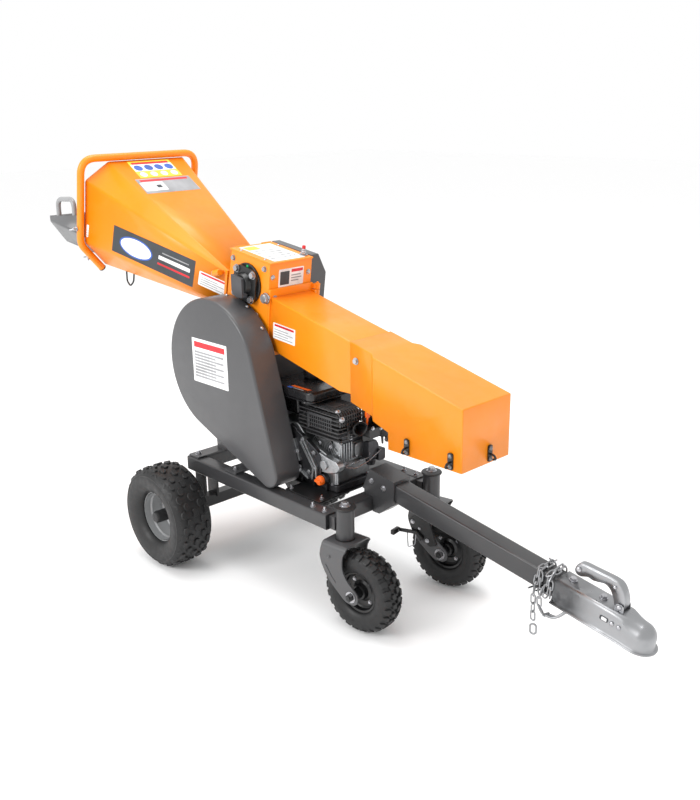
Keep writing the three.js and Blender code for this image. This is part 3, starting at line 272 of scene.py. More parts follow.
class Shape:
    """A mesh under construction. `turn` places what is added next, in millimetres."""

    def __init__(self, turn=None):
        self.mesh = bmesh.new()
        self.turn = turn or Matrix.Identity(4)

    def add(self, points, faces):
        made = [self.mesh.verts.new(at(*(self.turn @ Vector(p)))) for p in points]
        for face in faces:
            self.mesh.faces.new([made[i] for i in face])
        return self

    def loft(self, rings, closed=True, caps=True, looped=False):
        """Skins a list of rings of points; `looped` joins the last ring to the first."""
        count = len(rings[0])
        points = [p for ring in rings for p in ring]
        faces = []
        stop = len(rings) if looped else len(rings) - 1
        for i in range(stop):
            here, there = i * count, ((i + 1) % len(rings)) * count
            for k in range(count if closed else count - 1):
                n = (k + 1) % count
                faces.append((here + k, here + n, there + n, there + k))
        if caps and closed and not looped:
            last = (len(rings) - 1) * count
            faces.append(tuple(range(count - 1, -1, -1)))
            faces.append(tuple(range(last, last + count)))
        return self.add(points, faces)

    def block(self, x0, x1, y0, y1, z0, z1):
        low = [(x0, y0, z0), (x1, y0, z0), (x1, y1, z0), (x0, y1, z0)]
        return self.loft([low, [(x, y, z1) for x, y, _ in low]])

    def prism(self, outline, axis, low, high):
        return self.loft([[lifted(p, axis, d) for p in outline] for d in (low, high)])

    def pipe(self, outer, inner, axis, low, high):
        """A prism with a hole right through it: both outlines have the same number of points."""
        rings = [(outer, low), (outer, high), (inner, high), (inner, low)]
        return self.loft([[lifted(p, axis, d) for p in ring] for ring, d in rings], looped=True)

    def pan(self, outer, inner, axis, rim, face, floor):
        """A hollow cover: side walls from `rim` to `face`, with its inside floor at `floor`."""
        rings = [(inner, rim), (outer, rim), (outer, face)]
        self.loft([[lifted(p, axis, d) for p in ring] for ring, d in rings], caps=False)
        self.add([lifted(p, axis, face) for p in outer], [tuple(range(len(outer)))])
        self.loft([[lifted(p, axis, d) for p in inner] for d in (rim, floor)], caps=False)
        return self.add([lifted(p, axis, floor) for p in inner], [tuple(range(len(inner)))])

    def lathe(self, profile, start, end, sides=48, closed=False):
        """A profile of (radius, distance along the axis) spun about the line from start to end."""
        start, end = Vector(start), Vector(end)
        axis = (end - start).normalized()
        across = axis.orthogonal().normalized()
        other = axis.cross(across)
        rings = []
        for k in range(sides):
            angle = 2 * math.pi * k / sides
            out = across * math.cos(angle) + other * math.sin(angle)
            rings.append([start + axis * d + out * r for r, d in profile])
        return self.loft(rings, closed=closed, caps=False, looped=True)

    def rod(self, start, end, radius, sides=32, end_radius=None, edge=0.0):
        """A solid round bar, with an optional small chamfer at both ends."""
        length = (Vector(end) - Vector(start)).length
        last = radius if end_radius is None else end_radius
        profile = [(0, 0), (radius - edge, 0), (radius, edge), (last, length - edge), (last - edge, length), (0, length)]
        return self.lathe(profile, start, end, sides)

    def tube(self, path, radius, sides=12, looped=False):
        path = [Vector(p) for p in path]
        rings = []
        side = None
        for i, point in enumerate(path):
            ahead = path[(i + 1) % len(path)] if looped or i < len(path) - 1 else point
            behind = path[i - 1] if looped or i else point
            run = (ahead - behind).normalized()
            side = run.orthogonal() if side is None else side - run * side.dot(run)
            side.normalize()
            other = run.cross(side)
            turns = [2 * math.pi * k / sides for k in range(sides)]
            rings.append([point + (side * math.cos(t) + other * math.sin(t)) * radius for t in turns])
        return self.loft(rings, looped=looped)

    def bolt(self, place, axis, size, washer=True, dome=False, shank=0):
        """A hexagon or domed head on a washer, sitting on a face whose outward normal is axis."""
        place, axis = Vector(place), Vector(axis).normalized()
        lift = 0
        if washer:
            lift = size * 0.22
            self.rod(place, place + axis * lift, size * 1.15, 28, edge=0.3)
        base = place + axis * lift
        if dome:
            profile = [(size * 0.92, 0), (size * 0.88, size * 0.25), (size * 0.66, size * 0.5), (size * 0.3, size * 0.62)]
            self.lathe([(0, 0), *profile, (0, size * 0.64)], base, base + axis, 24)
        else:
            self.rod(base, base + axis * size * 0.62, size * 0.92, 6, edge=0.6)
        if shank:
            self.rod(base, base + axis * (size * 0.62 + shank), size * 0.5, 16, edge=0.5)
        return self

    def hull(self, points):
        made = [self.mesh.verts.new(at(*(self.turn @ Vector(p)))) for p in points]
        bmesh.ops.convex_hull(self.mesh, input=made)
        return self


def lifted(point, axis, depth):
    a, b = point
    return {"x": (depth, a, b), "y": (a, depth, b), "z": (a, b, depth)}[axis]


def rounded(points, radius, steps=5, closed=True):
    """The outline with each corner turned by a smooth curve that starts `radius` from it."""
    points = [Vector(p) for p in points]
    sizes = radius if isinstance(radius, (list, tuple)) else [radius] * len(points)
    result = []
    for i, corner in enumerate(points):
        if not closed and i in (0, len(points) - 1):
            result.append(corner)
            continue
        before, after = points[i - 1] - corner, points[(i + 1) % len(points)] - corner
        reach = min(sizes[i], before.length * 0.49, after.length * 0.49)
        a, b = corner + before.normalized() * reach, corner + after.normalized() * reach
        for k in range(steps + 1):
            t = k / steps
            result.append(a * (1 - t) ** 2 + corner * 2 * t * (1 - t) + b * t * t)
    return [tuple(p) for p in result]


def rectangle(u0, u1, v0, v1, radius=0, steps=5):
    corners = [(u0, v0), (u1, v0), (u1, v1), (u0, v1)]
    return rounded(corners, radius, steps) if radius else corners


def arc(x, z, radius, start, end, steps):
    turns = [start + (end - start) * k / steps for k in range(steps + 1)]
    return [(x + radius * math.cos(t), z + radius * math.sin(t)) for t in turns]


def teardrop(large, large_radius, small, small_radius, steps=(72, 28)):
    reach = Vector(small) - Vector(large)
    axis = math.atan2(reach.y, reach.x)
    spread = math.acos((large_radius - small_radius) / reach.length)
    first = arc(*large, large_radius, axis + spread, axis - spread + 2 * math.pi, steps[0])
    return first + arc(*small, small_radius, axis - spread, axis + spread, steps[1])


def spline(points, steps=6, closed=False):
    """A smooth curve through the points."""
    points = [Vector(p) for p in points]
    count = len(points)
    result = []
    for i in range(count if closed else count - 1):
        near = [points[(i + k) % count] if closed else points[max(0, min(count - 1, i + k))] for k in (-1, 0, 1, 2)]
        for k in range(steps):
            t = k / steps
            a, b, c, d = near
            point = b * 2 + (c - a) * t + (a * 2 - b * 5 + c * 4 - d) * t * t + (b * 3 - a - c * 3 + d) * t**3
            result.append(tuple(point / 2))
    if not closed:
        result.append(tuple(points[-1]))
    return result


def piece(shape, name, body, finish, bevel=0.0, replaces=(), thickness=0.0, smooth=32, segments=3, weld=True):
    """Turns a shape into a finished piece that rides on a body and may stand for CAD nodes."""
    mesh = bpy.data.meshes.new(name)
    if weld:
        bmesh.ops.remove_doubles(shape.mesh, verts=shape.mesh.verts, dist=0.00001)
    bmesh.ops.recalc_face_normals(shape.mesh, faces=shape.mesh.faces)
    shape.mesh.to_mesh(mesh)
    shape.mesh.free()
    made = bpy.data.objects.new(name, mesh)
    bpy.context.scene.collection.objects.link(made)
    return dress(made, body, finish, bevel, replaces, thickness, smooth, segments)


def dress(made, body, finish, bevel, replaces, thickness, smooth, segments):
    material, slot = MATERIALS[finish]
    made.data.materials.clear()
    made.data.materials.append(material)
    made.data.shade_smooth()
    made.data.set_sharp_from_angle(angle=math.radians(smooth))
    if thickness:
        sheet = made.modifiers.new("sheet", "SOLIDIFY")
        sheet.thickness = thickness * MM
        sheet.offset = -1
        sheet.use_even_offset = True
    if bevel:
        edge = made.modifiers.new("edge", "BEVEL")
        edge.width = bevel * MM
        edge.segments = segments
        edge.limit_method = "ANGLE"
        edge.angle_limit = math.radians(smooth)
        edge.harden_normals = True
    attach(made, body)
    if replaces:
        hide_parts(*replaces)
    return made


def refined(node, finish, bevel, segments=3, smooth=28):
    """The CAD node's own mesh with its flat faces merged and its edges rounded."""
    mesh = NODES[node].data.copy()
    work = bmesh.new()
    work.from_mesh(mesh)
    bmesh.ops.remove_doubles(work, verts=work.verts, dist=0.00002)
    bmesh.ops.dissolve_limit(work, angle_limit=math.radians(1.5), verts=work.verts, edges=work.edges)
    work.to_mesh(mesh)
    work.free()
    made = bpy.data.objects.new(node + "_finished", mesh)
    bpy.context.scene.collection.objects.link(made)
    return dress(made, NODES[node]["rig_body"], finish, bevel, (node,), 0, smooth, segments)


def label(name, corner, across, up, width, height, body, heading="label_red", lines=4, ground="white"):
    """A blank sticker: a rounded sheet with a coloured heading bar and plain grey lines."""
    across, up = Vector(across).normalized(), Vector(up).normalized()
    out = across.cross(up)
    turn = Matrix((across, up, out)).transposed().to_4x4()
    turn.translation = Vector(corner)
    sheet = Shape(turn).prism(rectangle(0, width, 0, height, 3), "z", 0.05, 0.5)
    piece(sheet, name, body, ground)
    inset = width * 0.06
    if heading:
        bar = Shape(turn).prism(rectangle(inset, width - inset, height * 0.80, height * 0.93, 1), "z", 0.4, 0.62)
        piece(bar, name + "_heading", body, heading)
    if lines:
        rows = Shape(turn)
        for k in range(lines):
            low = height * (0.12 + 0.62 * k / lines)
            end = width * (0.90 - 0.22 * ((k * 3) % 2))
            rows.prism(rectangle(inset, end, low, low + height * 0.045), "z", 0.4, 0.6)
        piece(rows, name + "_lines", body, "label_grey")


def carved(target, cutter):
    """Cuts a shape out of a finished piece, ahead of the piece's own modifiers."""
    bmesh.ops.recalc_face_normals(cutter.mesh, faces=cutter.mesh.faces)
    mesh = bpy.data.meshes.new("cutter")
    cutter.mesh.to_mesh(mesh)
    cutter.mesh.free()
    tool = bpy.data.objects.new("cutter", mesh)
    bpy.context.scene.collection.objects.link(tool)
    plain = bpy.data.objects.new("plain", target.data)
    bpy.context.scene.collection.objects.link(plain)
    cut = plain.modifiers.new("cut", "BOOLEAN")
    cut.object = tool
    cut.solver = "EXACT"
    bpy.context.view_layer.update()
    scene = bpy.context.evaluated_depsgraph_get()
    target.data = bpy.data.meshes.new_from_object(plain.evaluated_get(scene))
    target.data.shade_smooth()
    target.data.set_sharp_from_angle(angle=math.radians(32))
    bpy.data.objects.remove(plain)
    bpy.data.objects.remove(tool)
    return target


def folded(made, width, angle=12):
    """Gives an open sheet-metal skin rounded folds before it is thickened."""
    fold = made.modifiers.new("fold", "BEVEL")
    fold.width = width * MM
    fold.segments = 4
    fold.limit_method = "ANGLE"
    fold.angle_limit = math.radians(angle)
    made.modifiers.move(len(made.modifiers) - 1, 0)
    return made


def circle(u, v, radius, steps=32):
    return [(u + radius * math.cos(2 * math.pi * k / steps), v + radius * math.sin(2 * math.pi * k / steps))
            for k in range(steps)]


# ------------------------------------------------------------------ chassis

FRAME_LENGTH, FRAME_TOP, TUBE, WALL = 718, 349, 50, 3.5
FRAME_LOW = FRAME_TOP - TUBE
RAIL_OUT = 229.5
RAIL_IN = RAIL_OUT - TUBE
CASTER_X, CASTER_Y, CASTER_TRAIL, CASTER_RADIUS = 48.6, 194.6, 70, 130
SLEEVE_LOW, SLEEVE_TOP = 281, 375


def square_tube(u, v, axis, start, end, size=TUBE, wall=WALL, turn=None):
    outer = rectangle(u, u + size, v, v + size, 6)
    inner = rectangle(u + wall, u + size - wall, v + wall, v + size - wall, 3)
    return Shape(turn).pipe(outer, inner, axis, start, end)


def make_frame():
    for side, y in (("right", -RAIL_OUT), ("left", RAIL_IN)):
        rail = square_tube(y, FRAME_LOW, "x", -FRAME_LENGTH, 0)
        node = "frame_rail_" + side
        piece(rail, node + "_tube", "chassis", "frame", 0.6, (node,))
        for end, x in (("front", -1.5), ("rear", -FRAME_LENGTH + 1.5)):
            plug = Shape().prism(rectangle(y + 3.6, y + 46.4, FRAME_LOW + 3.6, FRAME_TOP - 3.6, 3), "x", x - 2, x + 0.8)
            piece(plug, f"rail_plug_{side}_{end}", "chassis", "plastic", 0.8)
    for end, x in (("front", -TUBE), ("rear", -FRAME_LENGTH)):
        cross = square_tube(x, FRAME_LOW, "y", -RAIL_IN + 0.4, RAIL_IN - 0.4)
        node = "frame_cross_" + end
        piece(cross, node + "_tube", "chassis", "frame", 0.6, (node,))
        seams = Shape()
        for side in (-1, 1):
            for z in (FRAME_LOW, FRAME_TOP):
                seams.tube([(x + 2, side * RAIL_IN, z), (x + TUBE - 2, side * RAIL_IN, z)], 2.2, 8)
        piece(seams, f"weld_seams_{end}", "chassis", "frame")
    refined("engine_base_plate", "black", 1.0)
    refined("rear_axle", "black", 2.0)
    bolts = Shape()
    for x in (-22, -75):
        for y in (-212, 196):
            bolts.bolt((x, y, FRAME_TOP), (0, 0, 1), 8, shank=9)
    for y in (-204, -60):
        bolts.bolt((-694, y, FRAME_TOP + 0.2), (0, 0, 1), 8, shank=5)
    for x, y in ((-222, -172), (-90, -162), (-222, 150), (-90, 150), (-384, 170)):
        bolts.bolt((x, y, FRAME_TOP + 5.5), (0, 0, 1), 6.5, shank=7)
    for x in (-692, -482):
        for y in (-196, 196):
            bolts.bolt((x, y, FRAME_TOP + 6.2), (0, 0, 1), 8, shank=4)
    piece(bolts, "frame_bolts", "chassis", "bolt")


def make_sleeves():
    for side, name in ((-1, "right"), (1, "left")):
        y = side * CASTER_Y
        base = Vector((CASTER_X, y, 0))
        height = SLEEVE_TOP - SLEEVE_LOW
        ends = [(17, 0), (27, 0), (28, 1), (28, height - 1), (27, height), (17, height)]
        sleeve = Shape().lathe(ends, base + Vector((0, 0, SLEEVE_LOW)), base + Vector((0, 0, SLEEVE_TOP)), 64, True)
        arm = rectangle(y - 21, y + 21, FRAME_LOW + 2, FRAME_TOP - 5, 4)
        sleeve.prism(arm, "x", 0.4, CASTER_X - 24)
        piece(sleeve, f"caster_sleeve_{name}_tube", "chassis", "frame", 0, (f"caster_sleeve_{name}",))
        top = base + Vector((0, 0, SLEEVE_TOP))
        cap = [(0, 0.3), (30, 0.3), (33, 2), (34, 5), (32, 8), (24, 9.5), (0, 9.5)]
        piece(Shape().lathe(cap, top, top + Vector((0, 0, 10)), 48), f"sleeve_cap_{name}", "chassis", "plastic")
        lid = Shape().rod(top + Vector((0, 0, 9.4)), top + Vector((0, 0, 12)), 17, 40, edge=0.6)
        lid.bolt(top + Vector((0, 0, 12)), (0, 0, 1), 12)
        piece(lid, f"sleeve_bolt_{name}", "chassis", "bolt")


TOW = Matrix.Translation((122, 0, 380)) @ Matrix.Rotation(0.164, 4, "Y")
BAR = 29  # half the width of the tow bar


def make_tow_bar():
    refined("tow_bracket", "frame", 2.6)
    bar = square_tube(-BAR, -BAR, "x", -114, 668, 2 * BAR, 4, TOW)
    piece(bar, "drawbar_tube", "chassis", "frame", 0.6, ("drawbar",))
    bolts = Shape()
    for x, z in ((4, 405), (56, 394)):
        for side in (-1, 1):
            bolts.bolt((x, side * (BAR + 8), z), (0, side, 0), 8, shank=4 if side > 0 else 0)
    piece(bolts, "tow_bracket_bolts", "chassis", "bolt")


COUPLING_REAR, COUPLING_NECK, BALL_X = 565, 752, 811


def coupling_half(blend):
    """Half of the coupling's section, from its lower flange to its crown: square-topped or domed."""
    width, crown, shoulder = 36 + 2 * blend, 34 - 6 * blend, 22 - 30 * blend
    line = [(width + 9, -36), (width + 3, -35), (width + 0.4, -30), (width, (shoulder - 30) / 2)]
    for k in range(11):
        turn = math.pi / 2 * k / 10
        square = (width - 12 + 12 * math.cos(turn), crown - 12 + 12 * math.sin(turn))
        round_ = (width * math.cos(turn), -8 + (crown + 8) * math.sin(turn))
        line.append(tuple(Vector(square) * (1 - blend) + Vector(round_) * blend))
    return line


def make_coupling():
    body = Shape(TOW)
    rings = []
    for x, blend in ((COUPLING_REAR, 0), (COUPLING_NECK - 20, 0), (765, 0.12), (776, 0.38), (788, 0.68), (800, 0.9), (BALL_X, 1)):
        half = coupling_half(blend)
        ring = [(x, -y, z) for y, z in half] + [(x, y, z) for y, z in reversed(half)]
        rings.append(ring)
    body.loft(rings, closed=False, caps=False)
    fan = []
    for k in range(25):
        turn = -math.pi / 2 + math.pi * k / 24
        fan.append([(BALL_X + y * math.cos(turn), y * math.sin(turn), z) for y, z in coupling_half(1)])
    body.loft(fan, closed=False, caps=False)
    piece(body, "coupling_shell", "chassis", "zinc", 0, ("coupling_head",), thickness=3.2, smooth=50)
    ears = Shape(TOW)
    for y in (-18, 15):
        ears.prism(rounded([(731, 29), (759, 29), (756, 51), (734, 51)], 7), "y", y, y + 3)
    piece(ears, "coupling_ears", "chassis", "zinc", 0.5)
    bolts = Shape(TOW)
    for x in (596, 690):
        bolts.bolt((x, 0, 34), (0, 0, 1), 10)
        bolts.bolt((x, 0, -30), (0, 0, -1), 10, shank=6)
    for x in (744, 764):
        bolts.bolt((x, -36.6, 2), (0, -1, 0), 7, washer=False, dome=True)
        bolts.bolt((x, 36.6, 2), (0, 1, 0), 7, washer=False, dome=True)
    piece(bolts, "coupling_bolts", "chassis", "bolt")
    # Painted shade: the slot is not cut open, so a flat dark sheet on the coupling's side stands for the shade inside
    # it.
    slot = Shape(TOW).prism(rectangle(708, 733, -4, 9, 5), "y", -36.9, -36.05)
    piece(slot, "coupling_painted_slot_shade", "chassis", "label_dark")
    # Painted highlight: a small white patch in the middle of the dark slot stands for a glint on the metal inside it.
    mark = Shape(TOW).prism(rectangle(714, 729, -2, 7, 1), "y", -37.6, -36.7)
    piece(mark, "coupling_painted_highlight", "chassis", "white")


LEVER_TOP = [(598, 74), (602, 90), (614, 100), (650, 103), (684, 105), (706, 106), (728, 103), (744, 88), (756, 62),
             (756, 44)]
LEVER_LOW = [(608, 66), (620, 65), (640, 74), (656, 73), (672, 77), (690, 82), (706, 76), (720, 58), (728, 40),
             (738, 34)]


def make_lever():
    lever = Shape(TOW)
    rings = []
    half = 13
    for top, low in zip(spline(LEVER_TOP, 5), spline(LEVER_LOW, 5)):
        inward = (Vector(low) - Vector(top)).normalized()
        side = []
        for k in range(5):
            turn = math.pi / 2 * k / 4
            drop = Vector(top) + inward * 5 * (1 - math.sin(turn))
            side.append((half - 5 + 5 * math.cos(turn), drop))
        near = [(low[0], -half, low[1])] + [(p.x, -y, p.y) for y, p in side]
        rings.append(near + [(x, -y, z) for x, y, z in reversed(near)])
    lever.loft(rings, closed=False, caps=False)
    lever.add(rings[0], [tuple(range(len(rings[0])))])
    piece(lever, "coupling_lever_plate", "coupling_lever", "zinc", 0, ("coupling_handle",), thickness=2.4, smooth=55)
    rivets = Shape(TOW)
    for x, z, size in ((611, 82, 9), (718, 88, 6), (744, 43, 8)):
        for side in (-1, 1):
            reach = half + 0.2 if x < 740 else 18.2
            rivets.bolt((x, side * reach, z), (0, side, 0), size, washer=False, dome=True)
    rivets.rod((744, -18, 43), (744, 18, 43), 5.8)
    piece(rivets, "lever_rivets", "coupling_lever", "bolt")


WIRE, LINK_LENGTH, LINK_WIDTH, LINK_PITCH = 2.4, 33, 19, 25


def chain_link(shape, centre, run, across, length=LINK_LENGTH, width=LINK_WIDTH, wire=WIRE):
    run, across = run.normalized(), (across - run * across.dot(run)).normalized()
    straight, bend = length / 2 - width / 2, width / 2 - wire
    path = []
    for k in range(20):
        turn = 2 * math.pi * (k + 0.5) / 20
        along = math.copysign(straight, math.cos(turn)) + bend * math.cos(turn)
        path.append(centre + run * along + across * bend * math.sin(turn))
    shape.tube(path, wire, 8, looped=True)


def lay_chain(shape, path, outward):
    """Links spaced evenly along a path, each turned a quarter from the one before it."""
    path = [Vector(p) for p in path]
    travelled, due, count = 0.0, LINK_PITCH / 2, 0
    for a, b in zip(path, path[1:]):
        length = (b - a).length
        while due <= travelled + length:
            centre = a.lerp(b, (due - travelled) / length)
            run = b - a
            out = outward(centre)
            side = out.cross(run) if count % 2 else out
            chain_link(shape, centre, run, side + out * 0.25)
            due += LINK_PITCH
            count += 1
        travelled += length


def make_chain():
    chain = Shape(TOW)
    reach = BAR + 7
    turns, first_x, last_x = 4, 494, 560
    path = []
    for step in range(turns * 48 + 1):
        turn = 2 * math.pi * step / 48
        x = first_x + (last_x - first_x) * step / (turns * 48) + 5 * math.sin(turn * 0.5)
        y, z = math.cos(turn - 2.4), math.sin(turn - 2.4)
        stretch = reach / max(abs(y), abs(z), 0.78)
        path.append((x, y * stretch, z * stretch))
    lay_chain(chain, path, lambda p: Vector((0, p.y, p.z)).normalized())
    tail = spline([(510, -38, -18), (516, -45, -44), (524, -46, -84), (531, -45, -122)], 8)
    lay_chain(chain, tail, lambda p: Vector((0, -1, 0)))
    chain_link(chain, Vector((537, -45, -142)), Vector((0.16, 0, -1)), Vector((1, 0.3, 0)), 36, 23, 2.8)
    hooked = spline([(534, -38, -14), (536, -46, -42), (546, -46, -70), (560, -40, -84)], 8)
    lay_chain(chain, hooked, lambda p: Vector((0, -1, 0)))
    shackle = rounded([(560, -40, -84), (584, -34, -84), (604, -22, -58), (606, -16, -40)], 16, 6, closed=False)
    chain.tube(shackle, 3.6, 12)
    far_leg = rounded([(562, -27, -86), (586, -21, -86), (604, -10, -60), (606, -4, -40)], 16, 6, closed=False)
    chain.tube(far_leg, 3.6, 12)
    chain.rod((559, -43, -84), (561, -23, -86), 5, 16, edge=1)
    piece(chain, "safety_chain_links", "chassis", "zinc", 0, ("safety_chain",), weld=False)


# ------------------------------------------------------------------ wheels

def tread_block(shape, outline, crown, angle, height, draft=0.86, root=3.0):
    """A rubber block whose outline of (distance round, distance across) is wrapped on the tread."""
    middle = Vector((sum(p[0] for p in outline), sum(p[1] for p in outline))) / len(outline)
    rings = []
    for lift, scale in ((-root, 1.08), (height * 0.75, 1.0), (height, draft)):
        ring = []
        for point in outline:
            s, v = middle + (Vector(point) - middle) * scale
            radius = crown(v) + lift
            turn = angle + s / crown(0)
            ring.append((radius * math.cos(turn), v, radius * math.sin(turn)))
        rings.append(ring)
    shape.loft(rings)


def profile_radius(profile):
    """The tread's radius at a distance across it, read from the carcass profile."""
    crown = sorted((v, r) for r, v in profile)
    def radius(v):
        for (v0, r0), (v1, r1) in zip(crown, crown[1:]):
            if v0 <= v <= v1 and v1 > v0:
                return r0 + (r1 - r0) * (v - v0) / (v1 - v0)
        return crown[0][1] if v < crown[0][0] else crown[-1][1]
    return radius


def mirrored(half):
    """A closed wheel profile from its outer half, given as (radius, distance from the middle)."""
    return [(r, -v) for r, v in half] + [(r, v) for r, v in reversed(half)]


def carcass(shape, half, sides=96):
    shape.lathe(mirrored(half), (0, 0, 0), (0, 1, 0), sides, closed=True)


REAR_CROWN = [(168.5, 54), (169.5, 40), (170.5, 24), (171, 8)]
REAR_HALF = spline([(88, 45), (93, 54), (104, 63), (122, 69), (140, 70.5), (150, 69), (153, 70), (155.5, 68), (162, 62)], 3)
REAR_HALF = REAR_HALF + REAR_CROWN
KIDNEY = [(-14, -6), (-9, -11), (0, -8), (9, -11), (14, -6), (12, 5), (5, 10), (-5, 10), (-12, 5)]
CHIP = [(-13, -5), (-6, -10), (8, -9), (13, -2), (9, 8), (-5, 10), (-13, 4)]
GUSSET = [(-17, 12), (-11, 15), (-3, 1), (6, -1), (14, 14), (19, 12), (10, -8), (-6, -8)]


def rear_tyre(name, side, turn):
    tyre = Shape(turn)
    carcass(tyre, REAR_HALF)
    crown = profile_radius(mirrored(REAR_CROWN))
    count = 20
    step = 2 * math.pi / count
    for k in range(count):
        for across, outline, shift in ((0, KIDNEY, 0), (-26, CHIP, 0.5), (26, CHIP, 0.5)):
            flip = -1 if across > 0 else 1
            shape = [(s * flip, across + v * (1 if k % 2 else -1)) for s, v in outline]
            tread_block(tyre, shape, crown, (k + shift) * step, 6.4)
        for edge in (-1, 1):
            outline = [(s, edge * (45 + v * 0.8)) for s, v in KIDNEY]
            tread_block(tyre, outline, crown, k * step, 6.0)
            gusset = [(s, edge * (59 + v * 0.42)) for s, v in GUSSET]
            tread_block(tyre, gusset, shoulder_radius, (k + 0.5) * step, 3.4)
    piece(tyre, f"rear_tyre_{name}_tread", f"rear_wheel_{name}", "tyre", 0, (f"rear_tyre_{name}",), smooth=40)


def shoulder_radius(v):
    """The rear tyre's skin where its tread turns down to the sidewall."""
    return 168.5 - max(0.0, abs(v) - 54) * 1.05


REAR_RIM = [(91, 44), (94, 47), (96, 46), (96.5, 43), (92, 41), (86, 40.5), (84, 24), (80, 19), (79, 2), (75, -6), (73, -20), (66, -25), (40, -26), (32, -20), (21, -19)]


def make_rear_wheels():
    for side, name in ((-1, "right"), (1, "left")):
        turn = Matrix.Translation((-684, side * 344, 177.5))
        rear_tyre(name, side, turn)
        body = f"rear_wheel_{name}"
        outer = [(r, side * v) for r, v in REAR_RIM]
        back = [(r - 2.5, side * (v - 3)) for r, v in reversed(REAR_RIM[5:])]
        inner_lip = [(84, -side * 30), (86, -side * 41), (93, -side * 43), (95, -side * 46), (92, -side * 47), (88, -side * 43)]
        barrel = [(86.5, -side * 30), (88, side * 38)]
        rim = Shape(turn).lathe(outer + back + inner_lip + barrel, (0, 0, 0), (0, 1, 0), 96, closed=True)
        piece(rim, f"rear_rim_{name}_dish", body, "silver", 0, (f"rear_rim_{name}",), smooth=28)
        hub = [(0, 57), (10, 57), (17, 55), (20, 50), (21, 44), (21, -50), (12, -52), (12, 30), (0, 30)]
        cap = Shape(turn).lathe([(r, side * v) for r, v in hub], (0, 0, 0), (0, 1, 0), 48)
        cap.rod((60, side * -2, 44), (60, side * 26, 46), 3.4, 12, edge=0.8)
        piece(cap, f"rear_hub_{name}", body, "plastic", smooth=28)


CASTER_CROWN = [(115, 33), (119.5, 24), (121.5, 12), (122, 4)]
CASTER_HALF = spline([(64, 27), (68, 33), (78, 39), (92, 41.5), (104, 40.5), (111, 38)], 4) + CASTER_CROWN


def caster_tyre(name, turn):
    tyre = Shape(turn)
    carcass(tyre, CASTER_HALF)
    crown = profile_radius(mirrored([(100, 42), (109, 39.5)] + CASTER_CROWN))
    count = 26
    step = 2 * math.pi / count
    for k in range(count):
        for edge in (-1, 1):
            shift = 0.25 * edge
            inner = [(-9, edge * 2.5), (6, edge * 2.5), (10, edge * 9), (7, edge * 18), (-7, edge * 16)]
            tread_block(tyre, inner, crown, (k + shift) * step, 7.6)
            outer = [(-8, edge * 20), (8, edge * 21.5), (10, edge * 31), (8, edge * 38.5), (-8, edge * 38.5), (-10, edge * 30)]
            tread_block(tyre, outer, crown, (k + 0.5 + shift) * step, 6.4)
            mark = [(-5, edge * 39.2), (5, edge * 39.2), (5, edge * 41.6), (-5, edge * 41.6)]
            tread_block(tyre, mark, sidewall_radius, k * step, 2.2, 0.8)
    piece(tyre, f"caster_tyre_{name}_tread", f"caster_wheel_{name}", "tyre", 0, (f"caster_tyre_{name}",), smooth=40)


def sidewall_radius(v):
    return 108 - max(0.0, abs(v) - 38) * 4.5


CASTER_RIM = [(64, 27), (67, 30), (69, 29), (69, 26), (64, 24), (58, 22), (55, 10), (50, 6), (34, 5), (26, 9), (22, 22), (17, 24), (16, 47), (8.2, 47)]


def make_casters():
    for side, name, heading in ((-1, "right", 0.09), (1, "left", 0.18)):
        swivel = Matrix.Translation((CASTER_X, side * CASTER_Y, 0)) @ Matrix.Rotation(heading, 4, "Z")
        wheel = swivel @ Matrix.Translation((CASTER_TRAIL, 0, CASTER_RADIUS))
        caster_tyre(name, wheel)
        rim = Shape(wheel).lathe(mirrored(CASTER_RIM), (0, 0, 0), (0, 1, 0), 72, closed=True)
        piece(rim, f"caster_rim_{name}_dish", f"caster_wheel_{name}", "black", 0, (f"caster_rim_{name}",), smooth=28)
        studs = Shape(wheel)
        for k in range(4):
            turn = math.pi / 4 + k * math.pi / 2
            for face in (-1, 1):
                studs.bolt((42 * math.cos(turn), face * 5.4, 42 * math.sin(turn)), (0, face, 0), 5.5)
        piece(studs, f"caster_studs_{name}", f"caster_wheel_{name}", "bolt")
        make_fork(name, swivel)
    make_brake(Matrix.Translation((CASTER_X, CASTER_Y, 0)) @ Matrix.Rotation(0.18, 4, "Z"))


FORK_BACK = [(62, 105), (44, 110), (18, 130), (-8, 152), (-30, 178), (-45, 206), (-52, 230), (-50, 248), (-46, 263)]
FORK_FRONT = [(80, 105), (94, 116), (95, 140), (76, 158), (55, 176), (42, 196), (36, 216), (38, 246), (46, 263)]
FORK_HALF, CROWN_TOP, CROWN_BEND = 60, 279, 16


